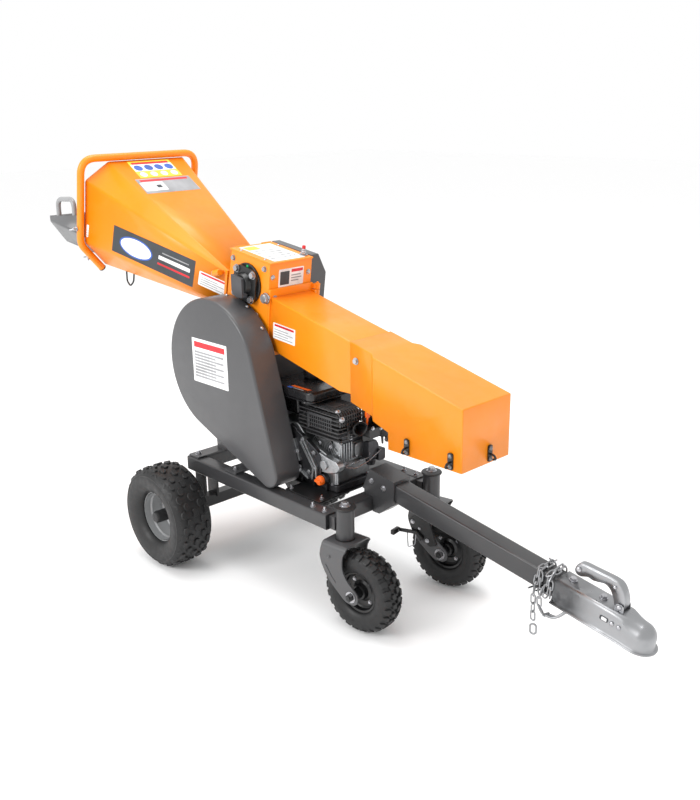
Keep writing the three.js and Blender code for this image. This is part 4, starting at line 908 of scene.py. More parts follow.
def make_fork(name, swivel):
    back, front = spline(FORK_BACK, 4), spline(FORK_FRONT, 4)
    across = 9
    def ribbon(y, b, f):
        return [(b[0] + (f[0] - b[0]) * t / across, y, b[1] + (f[1] - b[1]) * t / across) for t in range(across + 1)]
    near = [ribbon(-FORK_HALF, b, f) for b, f in zip(back, front)]
    for k in range(1, 7):
        turn = math.pi / 2 * k / 6
        y = -FORK_HALF + CROWN_BEND * (1 - math.cos(turn))
        z = CROWN_TOP - CROWN_BEND * (1 - math.sin(turn))
        near.append(ribbon(y, (-45, z), (49, z)))
    rings = near + [[(x, -y, z) for x, y, z in ring] for ring in reversed(near)]
    sheet = Shape(swivel).loft(rings, closed=False, caps=False)
    body = f"caster_{name}"
    piece(sheet, f"caster_fork_{name}_pressing", body, "fork", 1.6, (f"caster_fork_{name}",), thickness=5.5, smooth=40)
    hub = Shape(swivel)
    hub.rod((0, 0, CROWN_TOP - 0.5), (0, 0, CROWN_TOP + 1.4), 31, 48, edge=0.6)
    hub.rod((0, 0, CROWN_TOP - 5), (0, 0, SLEEVE_TOP - 0.6), 15.5, 32)
    hub.rod((0, 0, CROWN_TOP - 13), (0, 0, CROWN_TOP - 5), 22, 6, edge=1)
    axle = (CASTER_TRAIL, 0, CASTER_RADIUS)
    hub.rod((axle[0], -74, axle[2]), (axle[0], 74, axle[2]), 7.4, 24, edge=1)
    for side in (-1, 1):
        hub.rod((axle[0], side * 62.5, axle[2]), (axle[0], side * 71, axle[2]), 12.5, 6, edge=1)
        hub.rod((axle[0], side * 48.5, axle[2]), (axle[0], side * 54, axle[2]), 12, 24)
    piece(hub, f"caster_kingpin_{name}", body, "black")
    washers = Shape(swivel)
    for side in (-1, 1):
        washers.rod((axle[0], side * 60.2, axle[2]), (axle[0], side * 62.8, axle[2]), 18, 40, edge=0.7)
    piece(washers, f"caster_washers_{name}", body, "bolt")
    marks = Shape(swivel)
    for side in (-1, 1):
        rib = [(-34, 206), (-24, 190), (-6, 166), (8, 154), (12, 158), (-2, 172), (-18, 194), (-28, 208)]
        marks.prism(rounded(rib, 4, 3), "y", side * 60.1, side * 61.6)
        marks.bolt((-14, side * 60.1, 236), (0, side, 0), 6, washer=False, dome=True)
    piece(marks, f"caster_fork_marks_{name}", body, "fork", 0.6)


def make_brake(swivel):
    plate = Shape(swivel)
    outline = rounded([(-6, 262), (-48, 226), (-22, 196), (34, 148), (60, 158), (32, 236)], 6, 3)
    plate.prism(outline, "y", -66, -61)
    plate.prism([(x, z) for x, z in outline], "y", 61, 66)
    piece(plate, "brake_plates", "caster_left", "black", 0.8)
    pins = Shape(swivel)
    for x, z in ((-30, 222), (26, 168), (-4, 204)):
        pins.bolt((x, -66, z), (0, -1, 0), 6.5 if x != -4 else 4)
    piece(pins, "brake_bolts", "caster_left", "bolt")
    lever = Shape(swivel)
    for y in (-74, -70):
        arm = rounded([(-86, 177), (-82, 188), (-12, 196), (12, 176), (6, 164), (-14, 184)], 3, 3)
        lever.prism(arm, "y", y, y + 2.4)
    lever.prism(rectangle(-92, -78, 174, 190, 3), "y", -102, -67)
    piece(lever, "brake_lever", "brake", "black", 0.6, ("brake_pedal",))
    pin = Shape(swivel).bolt((-82, -75, 182), (0, -1, 0), 5)
    loop = rounded([(-46, -71, 186), (-44, -74, 160), (-40, -76, 132), (-16, -74, 146), (-14, -71, 182)], 5, 4, closed=False)
    pin.tube(loop, 1.5, 8)
    piece(pin, "brake_pin_and_wire", "brake", "bolt")


# ------------------------------------------------------------------ chopping head and drives

NEAR, FAR = -110, 66
LEAN = 0.1405
FACE_TOP = (-362, 1047)
ROTOR = (-560, 700)
ROLLER = (-477, 975)
CRANK = (-308, 458)


def face_x(z):
    return FACE_TOP[0] - (FACE_TOP[1] - z) * LEAN


def face_frame(z):
    """A frame on the head's leaning front: x across the machine, y up the face, z outwards."""
    up = Vector((LEAN, 0, 1)).normalized()
    across = Vector((0, 1, 0))
    turn = Matrix((across, up, across.cross(up))).transposed().to_4x4()
    turn.translation = Vector((face_x(z), 0, z))
    return turn


def make_head():
    refined("chopper_housing", "orange", 1.4)
    refined("housing_stand", "charcoal", 1.6)
    refined("housing_top_cover", "orange", 1.4)
    bolts = Shape()
    for x, z in ((-548, 1050), (-390, 1030), (-398, 800), (-668, 800), (-448, 776)):
        bolts.bolt((x, NEAR, z), (0, -1, 0), 8.5)
        bolts.bolt((x, FAR, z), (0, 1, 0), 8.5)
    front = face_frame(990)
    for y in (-97, 52):
        place, out = front @ Vector((y, 14, 0)), front.to_3x3() @ Vector((0, 0, 1))
        bolts.bolt(place, out, 7.5, dome=True)
    for z in (765, 940):
        place, out = face_frame(z) @ Vector((-90, 0, 7)), front.to_3x3() @ Vector((0, 0, 1))
        bolts.bolt(place, out, 7)
    piece(bolts, "head_bolts", "chassis", "bolt")
    deck = deck_frame()
    screws = Shape(deck)
    for x, y in ((44, -101), (165, -101), (44, 55), (165, 20)):
        screws.bolt((x, y, 5), (0, 0, 1), 5.5, washer=False, dome=True)
    piece(screws, "cover_screws", "top_cover", "bolt")
    sheet = Shape(deck).prism(rectangle(14, 196, -88, 42, 4), "z", 5.05, 5.5)
    piece(sheet, "cover_label", "top_cover", "white")
    marks = Shape(deck)
    marks.prism(rectangle(22, 60, -80, -30, 2), "z", 5.4, 5.7)
    piece(marks, "cover_label_yellow", "top_cover", "yellow")
    lines = Shape(deck)
    for k in range(5):
        lines.prism(rectangle(74 + 22 * k, 82 + 22 * k, -78, 8 + 14 * (k % 2), 1), "z", 5.4, 5.65)
    piece(lines, "cover_label_lines", "top_cover", "label_grey")
    hinge = Shape()
    for y in (-90, 20):
        hinge.rod((-563, y, 1080.5), (-563, y + 40, 1080.5), 3, 16, edge=0.6)
    piece(hinge, "cover_hinge", "chassis", "orange")
    warning = front.copy()
    label("head_front_label", warning @ Vector((-72, -22, 0)), (0, 1, 0), (LEAN, 0, 1), 104, 58, "chassis", None, 0)
    for name, finish, box in (
        ("header", "label_red", (-20, 28, 22, 32)),
        ("pictogram", "label_dark", (-66, -28, -16, 28)),
        ("line_a", "label_grey", (-20, 20, 10, 14)),
        ("line_b", "label_grey", (-20, 24, 1, 5)),
        ("line_c", "label_grey", (-20, 12, -8, -4)),
    ):
        u0, u1, v0, v1 = box
        mark = Shape(warning).prism(rectangle(u0, u1, v0, v1, 1.5), "z", 0.45, 0.7)
        piece(mark, "head_front_label_" + name, "chassis", finish)


def deck_frame():
    """A frame on the lid: x along its slope from the rear edge, y across, z square to it."""
    along = Vector((206, 0, -29.5)).normalized()
    across = Vector((0, 1, 0))
    turn = Matrix((along, across, along.cross(across))).transposed().to_4x4()
    turn.translation = Vector((-562, 0, 1076.3))
    return turn


def make_plunger():
    foot = Vector((-384, 48, 1056.8))
    run = Vector((0.14, 0, 0.99)).normalized()
    body = Shape().rod(foot, foot + run * 3, 14, 32, edge=0.6)
    body.rod(foot + run * 3, foot + run * 10, 10, 6, edge=0.8)
    body.rod(foot + run * 10, foot + run * 16, 7.5, 24, edge=0.6)
    piece(body, "plunger_body", "top_cover", "bolt", replaces=("plunger_collar",))
    pin = Shape().rod(foot + run, foot + run * 24, 5, 20)
    pin.rod(foot + run * 16.5, foot + run * 21, 7.5, 24, edge=1)
    piece(pin, "plunger_stem", "plunger", "bolt", replaces=("cover_plunger",))
    cap = [(0, 21), (5.5, 21), (6, 23), (6, 29), (4.5, 31), (0, 31.5)]
    piece(Shape().lathe(cap, foot, foot + run, 32), "plunger_cap", "plunger", "red")


BEARING_LEAN = -0.19
BEARING_CORNERS = [(-56, -38), (-38, -56), (38, -56), (56, -38), (56, 38), (38, 56), (-38, 56), (-56, 38)]


def make_bearings():
    for (x, z), node, seal in ((ROLLER, "upper_bearing", 66.5), (ROTOR, "lower_bearing", 50)):
        y = NEAR - 0.4
        lean = Matrix.Rotation(BEARING_LEAN, 2)
        body = Shape()
        ring = [(22, 0), (seal, 0), (seal, 5), (seal - 1.5, 7), (seal - 10, 7), (seal - 11, 5.4), (22, 5.4)]
        body.lathe(ring, (x, y, z), (x, y - 1, z), 72, closed=True)
        corners = [lean @ Vector((u, v)) for u, v in BEARING_CORNERS]
        flange = rounded([(x + u, z + v) for u, v in corners], 14)
        body.prism(flange, "y", y - 17, y - 7)
        barrel = [(18, 17), (38, 17), (35, 24), (33, 31), (32, 33), (18, 33)]
        body.lathe(barrel, (x, y, z), (x, y - 1, z), 56, closed=True)
        piece(body, node + "_flange", "chassis", "black", 1.2, (node,))
        bolts = Shape()
        for u in (-41, 41):
            for v in (-41, 41):
                place = lean @ Vector((u, v))
                bolts.bolt((x + place.x, y - 17, z + place.y), (0, -1, 0), 11.5)
        piece(bolts, node + "_bolts", "chassis", "bolt")
    x, z = ROLLER
    outline = rounded([(x - 34, z + 32), (x + 20, z + 22), (x + 20, z - 42), (x - 16, z - 42), (x - 34, z - 26)], [4, 4, 6, 12, 10])
    shell = rounded([(x - 31, z + 28), (x + 17, z + 19), (x + 17, z - 39), (x - 15, z - 39), (x - 31, z - 24)], [3, 3, 5, 11, 9])
    cap = Shape().pan(outline, shell, "y", NEAR - 20, NEAR - 44, NEAR - 41)
    piece(cap, "roller_end_cap", "chassis", "cap_grey", 1.6)
    piece(Shape().rod((x + 10, NEAR - 7, z + 56), (x + 10, NEAR - 10, z + 56), 5.5, 24, edge=1), "grease_plug", "chassis", "green")
    knob = [(0, 0.5), (15, 0.5), (18, 2), (18, 5), (14, 6), (14, 15), (12, 18), (0, 18)]
    place = Vector((-385, NEAR, 938))
    out = Vector((0, -1, 0))
    bolt = Shape().lathe(knob, place, place + out, 48)
    for k in range(24):
        turn = 2 * math.pi * k / 24
        rib = place + Vector((14.2 * math.cos(turn), 0, 14.2 * math.sin(turn)))
        bolt.rod(rib + out * 6, rib + out * 15, 1.3, 8)
    piece(bolt, "chute_lock_knob", "chassis", "bolt", 0, ("chute_lock_bolt",))


def make_drives():
    refined("drive_case", "charcoal", 2.4)
    screws = Shape()
    for x, z in ((-452, 1000), (-560, 1000), (-600, 840), (-600, 660), (-500, 640), (-436, 830)):
        screws.bolt((x, 140, z), (0, 1, 0), 6)
    piece(screws, "drive_case_screws", "chassis", "bolt")
    for node in ("cutting_rotor", "feed_roller", "rotor_sprocket", "roller_sprocket"):
        refined(node, "steel", 0.8)
    for node in ("driven_pulley", "engine_pulley"):
        refined(node, "iron", 0.8)
    refined("drive_belt", "rubber", 0.8)
    refined("drive_chain", "steel", 0.8)
    nut = Shape().rod((ROTOR[0], -128, ROTOR[1]), (ROTOR[0], -214, ROTOR[1]), 16.8, 40, edge=1)
    piece(nut, "rotor_shaft_end", "rotor", "steel")


# ------------------------------------------------------------------ belt guard

GUARD_FACE, GUARD_RIM = -222, -124.6
GUARD_TOP, GUARD_TOE = (-560, 700), (-285, 399)
GUARD_RADII = (228, 48)
GUARD_EDGE = 9


def guard_ring(less, y):
    outline = teardrop(GUARD_TOP, GUARD_RADII[0] - less, GUARD_TOE, GUARD_RADII[1] - less)
    return [lifted(p, "y", y) for p in outline]


def make_guard():
    rings = [guard_ring(2.5, GUARD_RIM), guard_ring(0, GUARD_RIM)]
    for k in range(7):
        turn = math.pi / 2 * k / 6
        rings.append(guard_ring(GUARD_EDGE * (1 - math.cos(turn)), GUARD_FACE + GUARD_EDGE * (1 - math.sin(turn))))
    guard = Shape().loft(rings, caps=False)
    guard.add(rings[-1], [tuple(range(len(rings[-1])))])
    inner = [guard_ring(2.5, GUARD_RIM), guard_ring(2.5, GUARD_FACE + GUARD_EDGE), guard_ring(6, GUARD_FACE + 3)]
    guard.loft(inner, caps=False)
    guard.add(inner[-1], [tuple(range(len(inner[-1])))])
    made = piece(guard, "belt_guard_shell", "chassis", "charcoal", 0, ("belt_guard",))
    carved(made, hopper_solid(2))
    back = Shape().prism([(x, z) for x, _, z in guard_ring(0, 0)], "y", -124.2, -121.6)
    made = piece(back, "belt_guard_plate", "chassis", "charcoal", 0, ("belt_guard_back",))
    holes = hopper_solid(2)
    for (x, z), radius in ((ROTOR, 80), (ROLLER, 70), (CRANK, 26)):
        holes.rod((x, -130, z), (x, -110, z), radius, 64)
    carved(made, holes)
    screws = Shape()
    for x, z, out in ((-560, 928.2, (0, 0, 1)), (-454, 905.5, (0.42, 0, 0.9)), (-383, 846, (0.77, 0, 0.64)), (-788.2, 700, (-1, 0, 0))):
        screws.bolt((x, -137, z), out, 5.5, dome=True)
    for x, z in ((-238, 410), (-352, 640), (-428, 880)):
        screws.bolt((x, -121.4, z), (0, 1, 0), 6)
    piece(screws, "belt_guard_screws", "chassis", "bolt")
    label("belt_guard_label", (-652, GUARD_FACE, 638), (1, 0, 0), (0, 0, 1), 190, 150, "chassis", lines=9)


# ------------------------------------------------------------------ hopper and tray

MIDDLE, HALF, FLOOR_HALF = -47.5, 227.5, 140.5
TRAY_INSET = 9.5
MOUTH_LEVELS = [(MIDDLE - FLOOR_HALF, MIDDLE + FLOOR_HALF, 962), (MIDDLE - HALF, MIDDLE + HALF, 1056),
                (MIDDLE - HALF, MIDDLE + HALF, 1277), (-185, 133, 1337)]
MOUTH_X, MOUTH_BASE, MOUTH_LEAN = -1214, 1056, 0.2
THROAT_X, THROAT_LOW, THROAT_TOP = -612, 874, 996
THROAT_Y = (-102, 60)


def mouth_x(z):
    return MOUTH_X + (z - MOUTH_BASE) * MOUTH_LEAN


def mouth_points(grow=0):
    points = []
    for (near, far, z), lift in zip(MOUTH_LEVELS, (-grow, 0, 0, grow)):
        points += [(mouth_x(z + lift), y, z + lift) for y in (near - grow, far + grow)]
    return points


def throat_points(grow=0):
    lean = lambda z: THROAT_X + (z - THROAT_LOW) * 0.2
    levels = (THROAT_LOW - grow, THROAT_TOP + grow)
    return [(lean(z), y, z) for y in (THROAT_Y[0] - grow, THROAT_Y[1] + grow) for z in levels]


def hopper_solid(grow):
    return Shape().hull(mouth_points(grow) + throat_points(grow))


def open_hull(*groups):
    """A convex skin left open wherever a face lies wholly within one group of points."""
    shape = Shape().hull([p for group in groups for p in group])
    kinds = {}
    for index, group in enumerate(groups):
        for point in group:
            kinds[tuple(round(c, 4) for c in at(*point))] = index
    work = shape.mesh
    spare = []
    for face in work.faces:
        found = {kinds.get(tuple(round(c, 4) for c in v.co)) for v in face.verts}
        if len(found) == 1:
            spare.append(face)
    bmesh.ops.delete(work, geom=spare, context="FACES_ONLY")
    bmesh.ops.dissolve_limit(work, angle_limit=math.radians(1), verts=work.verts, edges=work.edges)
    return shape


def wing_screw(shape, place, axis, wing=(0, 0, 1)):
    place, axis, wing = Vector(place), Vector(axis).normalized(), Vector(wing).normalized()
    shape.rod(place, place + axis * 4, 9, 24, edge=0.6)
    shape.rod(place + axis * 4, place + axis * 14, 6, 20, edge=1)
    for side in (-1, 1):
        root, tip = place + axis * 8, place + axis * 20 + wing * side * 17
        shape.rod(root, tip, 4, 12, end_radius=3, edge=1)


def make_hopper():
    skin = open_hull(mouth_points(), throat_points())
    made = piece(skin, "hopper_funnel", "chassis", "orange", 0, ("hopper",), thickness=3)
    folded(made, 7)
    collar = Shape().prism([(-622, 862), (-610, 862), (-582, 1004), (-594, 1004)], "y", NEAR - 2, FAR + 2)
    made = piece(collar, "hopper_collar", "chassis", "orange", 1.2)
    carved(made, Shape().prism([(-650, 876), (-590, 876), (-570, 989), (-630, 989)], "y", NEAR + 8, FAR - 8))
    half, toe, low, top = HALF + 14.5, FLOOR_HALF + 12, MOUTH_BASE - 6, 1351.5
    legs = [(-toe, 952), (-half, low), (-half, top), (half, top), (half, low), (toe, 952)]
    path = [(mouth_x(z) - 6, MIDDLE + y, z) for y, z in legs]
    path = rounded(path, [12, 24, 56, 56, 24, 12], 10, closed=False)
    piece(Shape().tube(path, 13, 28), "hopper_hoop_tube", "chassis", "orange", 0, ("hopper_hoop",))
    caps = Shape()
    for a, b in ((path[0], path[1]), (path[-1], path[-2])):
        out = (Vector(a) - Vector(b)).normalized()
        caps.lathe([(0, -1), (13.4, -1), (13.6, 2), (12, 4.5), (0, 5)], a, Vector(a) + out, 28)
    piece(caps, "hoop_caps", "chassis", "plastic")
    knuckle = Shape().rod((-638, NEAR - 17, 990), (-604, NEAR - 17, 998), 11, 32, edge=1.5)
    knuckle.prism(rounded([(-634, 984), (-606, 990), (-606, 1004), (-634, 998)], 4), "y", NEAR - 12, NEAR + 2)
    piece(knuckle, "hopper_knuckle_barrel", "chassis", "orange", 0.6, ("hopper_knuckle",))
    nut = Shape().bolt((-638, NEAR - 17, 990), (-0.97, 0, -0.23), 9, dome=True)
    piece(nut, "hopper_knuckle_nut", "chassis", "bolt")
    screws = Shape()
    for side in (-1, 1):
        wing_screw(screws, (mouth_x(1108) - 8, MIDDLE + side * (HALF + 27), 1108), (-0.25, side, 0), (1, 0, 0.3))
        wing_screw(screws, (mouth_x(1005) - 14, MIDDLE + side * (HALF - 29), 1003), (-0.5, side * 0.6, -0.6), (1, 0, -0.2))
    piece(screws, "hopper_wing_screws", "chassis", "bolt")
    eye = [(-1118, -171, 950), (-1118, -172, 912), (-1098, -172, 896), (-1080, -168, 914), (-1078, -165, 944)]
    eye = rounded(eye, 9, 5, closed=False)
    piece(Shape().tube(eye, 3, 12), "hopper_hook", "chassis", "black")


def panel_frame(corner, along, toward):
    """A frame lying on a flat panel through three points: x runs along, z points outwards."""
    corner, along, toward = Vector(corner), Vector(along), Vector(toward)
    x = (along - corner).normalized()
    out = x.cross(toward - corner).normalized()
    y = out.cross(x)
    turn = Matrix((x, y, out)).transposed().to_4x4()
    turn.translation = corner
    return turn


def panel_label(name, turn, u, v, width, height, finish="white", heading="label_red", lines=4):
    axes = turn.to_3x3()
    corner = turn @ Vector((u, v, 0))
    label(name, corner, axes @ Vector((1, 0, 0)), axes @ Vector((0, 1, 0)), width, height, "chassis", heading, lines, finish)


def make_tray():
    half, foot, rear, end = HALF - TRAY_INSET, FLOOR_HALF + 18, MOUTH_X - 18, -1487
    def section(x, cheek, floor, top):
        return [(x, MIDDLE + side * y, z) for y, z in ((half, top), (half, cheek), (foot, floor)) for side in (-1, 1)]
    outer = section(end, 1110, 1027, 1131)
    inner = section(rear, 1072, 998, 1150)
    shape = open_hull(outer, inner)
    work = shape.mesh
    rim = {tuple(round(c, 4) for c in at(*p)) for p in (*outer[:2], *inner[:2])}
    lid = [f for f in work.faces if all(tuple(round(c, 4) for c in v.co) in rim for v in f.verts)]
    bmesh.ops.delete(work, geom=lid, context="FACES_ONLY")
    end_wall = [outer[k] for k in (0, 2, 4, 5, 3, 1)]
    shape.add(end_wall, [tuple(range(6))])
    made = piece(shape, "infeed_tray_sheet", "tray", "grey", 0, ("infeed_tray",), thickness=2.5)
    folded(made, 5)
    y = MIDDLE - half + 9
    top = lambda x: 1131 + (x - end) / 255 * 19
    a, b = -1424, -1304
    path = rounded([(a, y, top(a) - 6), (a, y, 1196), (b, y, 1203), (b, y, top(b) - 6)], 34, 8, closed=False)
    piece(Shape().tube(path, 9, 24), "tray_handle_tube", "tray", "silver", 0, ("tray_handle",))


# ------------------------------------------------------------------ chute and hood

DUCT_SLOPE = 0.2335


def duct_top(x):
    return 937 - (x + 346) * DUCT_SLOPE


def duct_floor(x):
    return 766 - (x + 360) * DUCT_SLOPE


def hinge_point(z):
    return (-356 + (z - 945) * LEAN, 79, z)


def make_chute():
    near, far = -106, 62
    corners = []
    back = lambda z: face_x(z) + 1
    corners.append(((back(775), duct_floor(back(775))), (back(944), duct_top(back(944)))))
    corners.append(((-62, duct_floor(-62)), (-62, duct_top(-62))))
    corners.append(((30, 699), (30, duct_top(30))))
    corners.append(((61, 691), (61, 826)))
    rings = []
    for low, high in corners:
        outline = rounded([(near, low[1]), (far, low[1]), (far, high[1]), (near, high[1])], 5, 5)
        span = high[1] - low[1]
        rings.append([(low[0] + (high[0] - low[0]) * (z - low[1]) / span, y, z) for y, z in outline])
    duct = Shape().loft(rings, caps=False)
    piece(duct, "discharge_duct", "chute", "orange", 0, ("discharge_chute",), thickness=3, smooth=40)
    flange = Shape(face_frame(744))
    flange.pipe(rectangle(NEAR, 69, 0, 226, 2), rectangle(-102, 58, 36, 200, 2), "z", 1, 8)
    for z in (782, 927):
        barrel = (Vector(hinge_point(z)), Vector(hinge_point(z + 18)))
        flange.turn = Matrix.Identity(4)
        flange.rod(*barrel, 9, 32, edge=0.8)
        x = hinge_point(z + 9)[0]
        flange.block(back(z + 9) + 1, x + 6, 64, 76, z + 1, z + 17)
    piece(flange, "chute_flange", "chute", "orange", 1.2)
    knuckles = Shape()
    for z in (801, 946):
        knuckles.rod(hinge_point(z), hinge_point(z + 18), 9, 32, edge=0.8)
        x = hinge_point(z + 9)[0]
        outline = rounded([(x - 26, FAR + 0.4), (x - 4, FAR + 0.4), (x + 4, 72), (x, 84), (x - 26, 78)], 3, 2)
        knuckles.prism(outline, "z", z + 1, z + 16)
    knuckles.rod(hinge_point(777), hinge_point(969), 4, 20, edge=0.8)
    piece(knuckles, "chute_hinge_knuckles", "chassis", "orange", 0.6, ("chute_hinge_pin",))
    label("chute_label", (-366, near, 812), (1, 0, -0.09), (0.09, 0, 1), 106, 52, "chute", lines=4)


HOOD_NEAR, HOOD_FAR, HOOD_END, HOOD_LOW = -126, 82, 433, 573
NECK_NEAR, NECK_FAR = -109.8, 65.8


def make_hood():
    top = lambda x: duct_top(x) + 2.9
    end_top = top(HOOD_END) - 4
    skin = Shape()
    for y, neck in ((HOOD_NEAR, NECK_NEAR), (HOOD_FAR, NECK_FAR)):
        wall = [(100, top(100)), (HOOD_END, end_top), (HOOD_END, HOOD_LOW), (161, HOOD_LOW), (161, 625), (100, 645)]
        skin.add([(x, y, z) for x, z in wall], [tuple(range(6))])
        turn = [(80, neck, top(80)), (100, y, top(100)), (100, y, 645), (80, neck, 652)]
        skin.add(turn, [(0, 1, 2, 3)])
        lap = [(-8, neck, top(-8)), (80, neck, top(80)), (80, neck, 652), (-8, neck, 676)]
        skin.add(lap, [(0, 1, 2, 3)])
    edges = [(-8, NECK_NEAR, NECK_FAR, top(-8)), (80, NECK_NEAR, NECK_FAR, top(80)),
             (100, HOOD_NEAR, HOOD_FAR, top(100)), (HOOD_END, HOOD_NEAR, HOOD_FAR, end_top),
             (HOOD_END, HOOD_NEAR, HOOD_FAR, HOOD_LOW)]
    for (x0, n0, f0, z0), (x1, n1, f1, z1) in zip(edges, edges[1:]):
        skin.add([(x0, n0, z0), (x0, f0, z0), (x1, f1, z1), (x1, n1, z1)], [(0, 1, 2, 3)])
    made = piece(skin, "hood_sheet", "hood", "orange", 0, ("chute_hood",), thickness=2.5)
    folded(made, 3.5)
    pivots = Shape()
    for y, side in ((NECK_NEAR, -1), (NECK_FAR, 1)):
        pivots.bolt((16.5, y, 806), (0, side, 0), 9)
        pivots.rod((16.5, y, 806), (16.5, y + side * 2.6, 806), 11, 40, edge=0.6)
    piece(pivots, "hood_pivot_bolts", "hood", "bolt")
    hooks, studs = Shape(), Shape()
    for place, out in (((235, HOOD_NEAR, 600), (0, -1, 0)), ((395, HOOD_NEAR, 600), (0, -1, 0)),
                       ((235, HOOD_FAR, 600), (0, 1, 0)), ((395, HOOD_FAR, 600), (0, 1, 0)),
                       ((HOOD_END, -8, 602), (1, 0, 0))):
        bag_hook(hooks, studs, Vector(place), Vector(out))
    piece(hooks, "bag_hooks", "hood", "black", 0.8)
    piece(studs, "bag_hook_screws", "hood", "iron")


def bag_hook(hooks, studs, place, out):
    """A strap under two screws with an upturned hook, standing off a face."""
    across = out.cross(Vector((0, 0, 1)))
    turn = Matrix((across, Vector((0, 0, 1)), out)).transposed().to_4x4()
    turn.translation = place
    hooks.turn = turn
    hooks.prism(rectangle(-9, 9, -24, 24, 6), "z", 0.2, 4)
    curve = rounded([(0, -2, 2), (0, -2, 16), (0, -13, 24), (0, -16, 13)], 6, 4, closed=False)
    hooks.tube(curve, 3.2, 12)
    studs.turn = turn
    for v in (-15, 15):
        studs.bolt((0, v, 4), (0, 0, 1), 7.5, washer=False, dome=True)


# ------------------------------------------------------------------ engine

ENGINE_NEAR, ENGINE_FAR, ENGINE_FOOT = -112, 58, 355
PTO_FACE = -118


def make_crankcase():
    side = [(-392, 373), (-392, 520), (-360, 546), (-264, 546), (-216, 498), (-134, 474), (-98, 438), (-98, 373)]
    body = Shape().prism(rounded(side, 12, 4), "y", ENGINE_NEAR + 12, ENGINE_FAR)
    piece(body, "crankcase_block", "chassis", "cast", 3.5, ("engine_crankcase",))
    foot = Shape().prism(rounded([(-404, -100), (-84, -100), (-84, ENGINE_FAR), (-404, ENGINE_FAR)], 12), "z", ENGINE_FOOT, 377)
    for k in range(5):
        x = -360 + 58 * k
        foot.block(x, x + 5, -111, -98, ENGINE_FOOT, 404 - 6 * (k % 2))
    piece(foot, "crankcase_foot", "chassis", "cast_dark", 2.0)
    cx, cz = CRANK
    cover = Shape()
    lobes = []
    for k in range(48):
        turn = 2 * math.pi * k / 48
        radius = 84 + 5 * max(0.0, math.cos(turn * 6)) ** 6
        lobes.append((cx + radius * math.cos(turn), cz + radius * math.sin(turn)))
    cover.prism(lobes, "y", PTO_FACE + 6, ENGINE_NEAR + 14)
    cover.rod((cx, PTO_FACE - 0.5, cz), (cx, PTO_FACE + 8, cz), 40, 48, edge=2)
    wing = rounded([(-262, 530), (-214, 508), (-150, 474), (-140, 430), (-152, 384), (-190, 372), (-250, 376)], 14, 4)
    cover.prism(wing, "y", PTO_FACE + 4, ENGINE_NEAR + 14)
    piece(cover, "crankcase_cover", "chassis", "cast_dark", 2.2)
    ribs = Shape()
    for (x0, z0), (x1, z1), wide in (((-230, 500), (-171, 424), 4.5), ((-214, 503), (-160, 430), 3.5), ((-171, 426), (-178, 382), 3.5),
                                     ((-160, 432), (-158, 392), 3), ((-262, 500), (-236, 430), 3), ((-246, 404), (-196, 380), 3)):
        run = Vector((x1 - x0, z1 - z0)).normalized() * wide
        a, b = Vector((x0, z0)), Vector((x1, z1))
        across = Vector((-run.y, run.x))
        outline = rounded([a + across, b + across, b - across, a - across], wide * 0.8, 3)
        ribs.prism(outline, "y", PTO_FACE - 6, PTO_FACE + 6)
    piece(ribs, "crankcase_ribs", "chassis", "bright_cast", 1.6)
    bosses = Shape()
    for x, z, r in ((-250, 459, 10), (-164, 424, 9), (-222, 505, 9), (-196, 402, 9), (-170, 474, 8), (-238, 398, 8), (-300, 540, 9)):
        bosses.rod((x, PTO_FACE - 4, z), (x, ENGINE_NEAR + 12, z), r, 28, edge=1.4)
    piece(bosses, "crankcase_bosses", "chassis", "cast")
    bolts = Shape()
    for x, z in ((-250, 459), (-164, 424), (-222, 505), (-196, 402), (-170, 474), (-238, 398)):
        bolts.bolt((x, PTO_FACE - 4, z), (0, -1, 0), 5.5, washer=False)
    for x, y in ((-110, -96), (-150, -102), (-388, 40), (-96, 44)):
        bolts.bolt((x, y, 377), (0, 0, 1), 7, shank=3)
    for x, z in ((-178, 497), (-127, 496), (-96, 428)):
        bolts.bolt((x, -84, z), (0, -1, 0), 6)
    piece(bolts, "engine_bolts", "chassis", "bolt")
    flank = rounded([(-166, 478), (-122, 468), (-76, 462), (-62, 447), (-74, 428), (-112, 416), (-154, 412)], 9, 4)
    made = Shape().prism(flank, "y", -110, -84)
    piece(made, "cylinder_flank", "chassis", "bright_cast", 4)
    pads = Shape()
    pads.prism(rounded([(-146, 452), (-126, 458), (-112, 440), (-128, 424), (-144, 430)], 8, 4), "y", -116, -108)
    pads.rod((-96, -92, 420), (-96, -92, 380), 8, 20, edge=1)
    piece(pads, "crankcase_pads", "chassis", "bright_cast", 2)


FAN = (-172, 548)  # point that the cooling fins spread out from


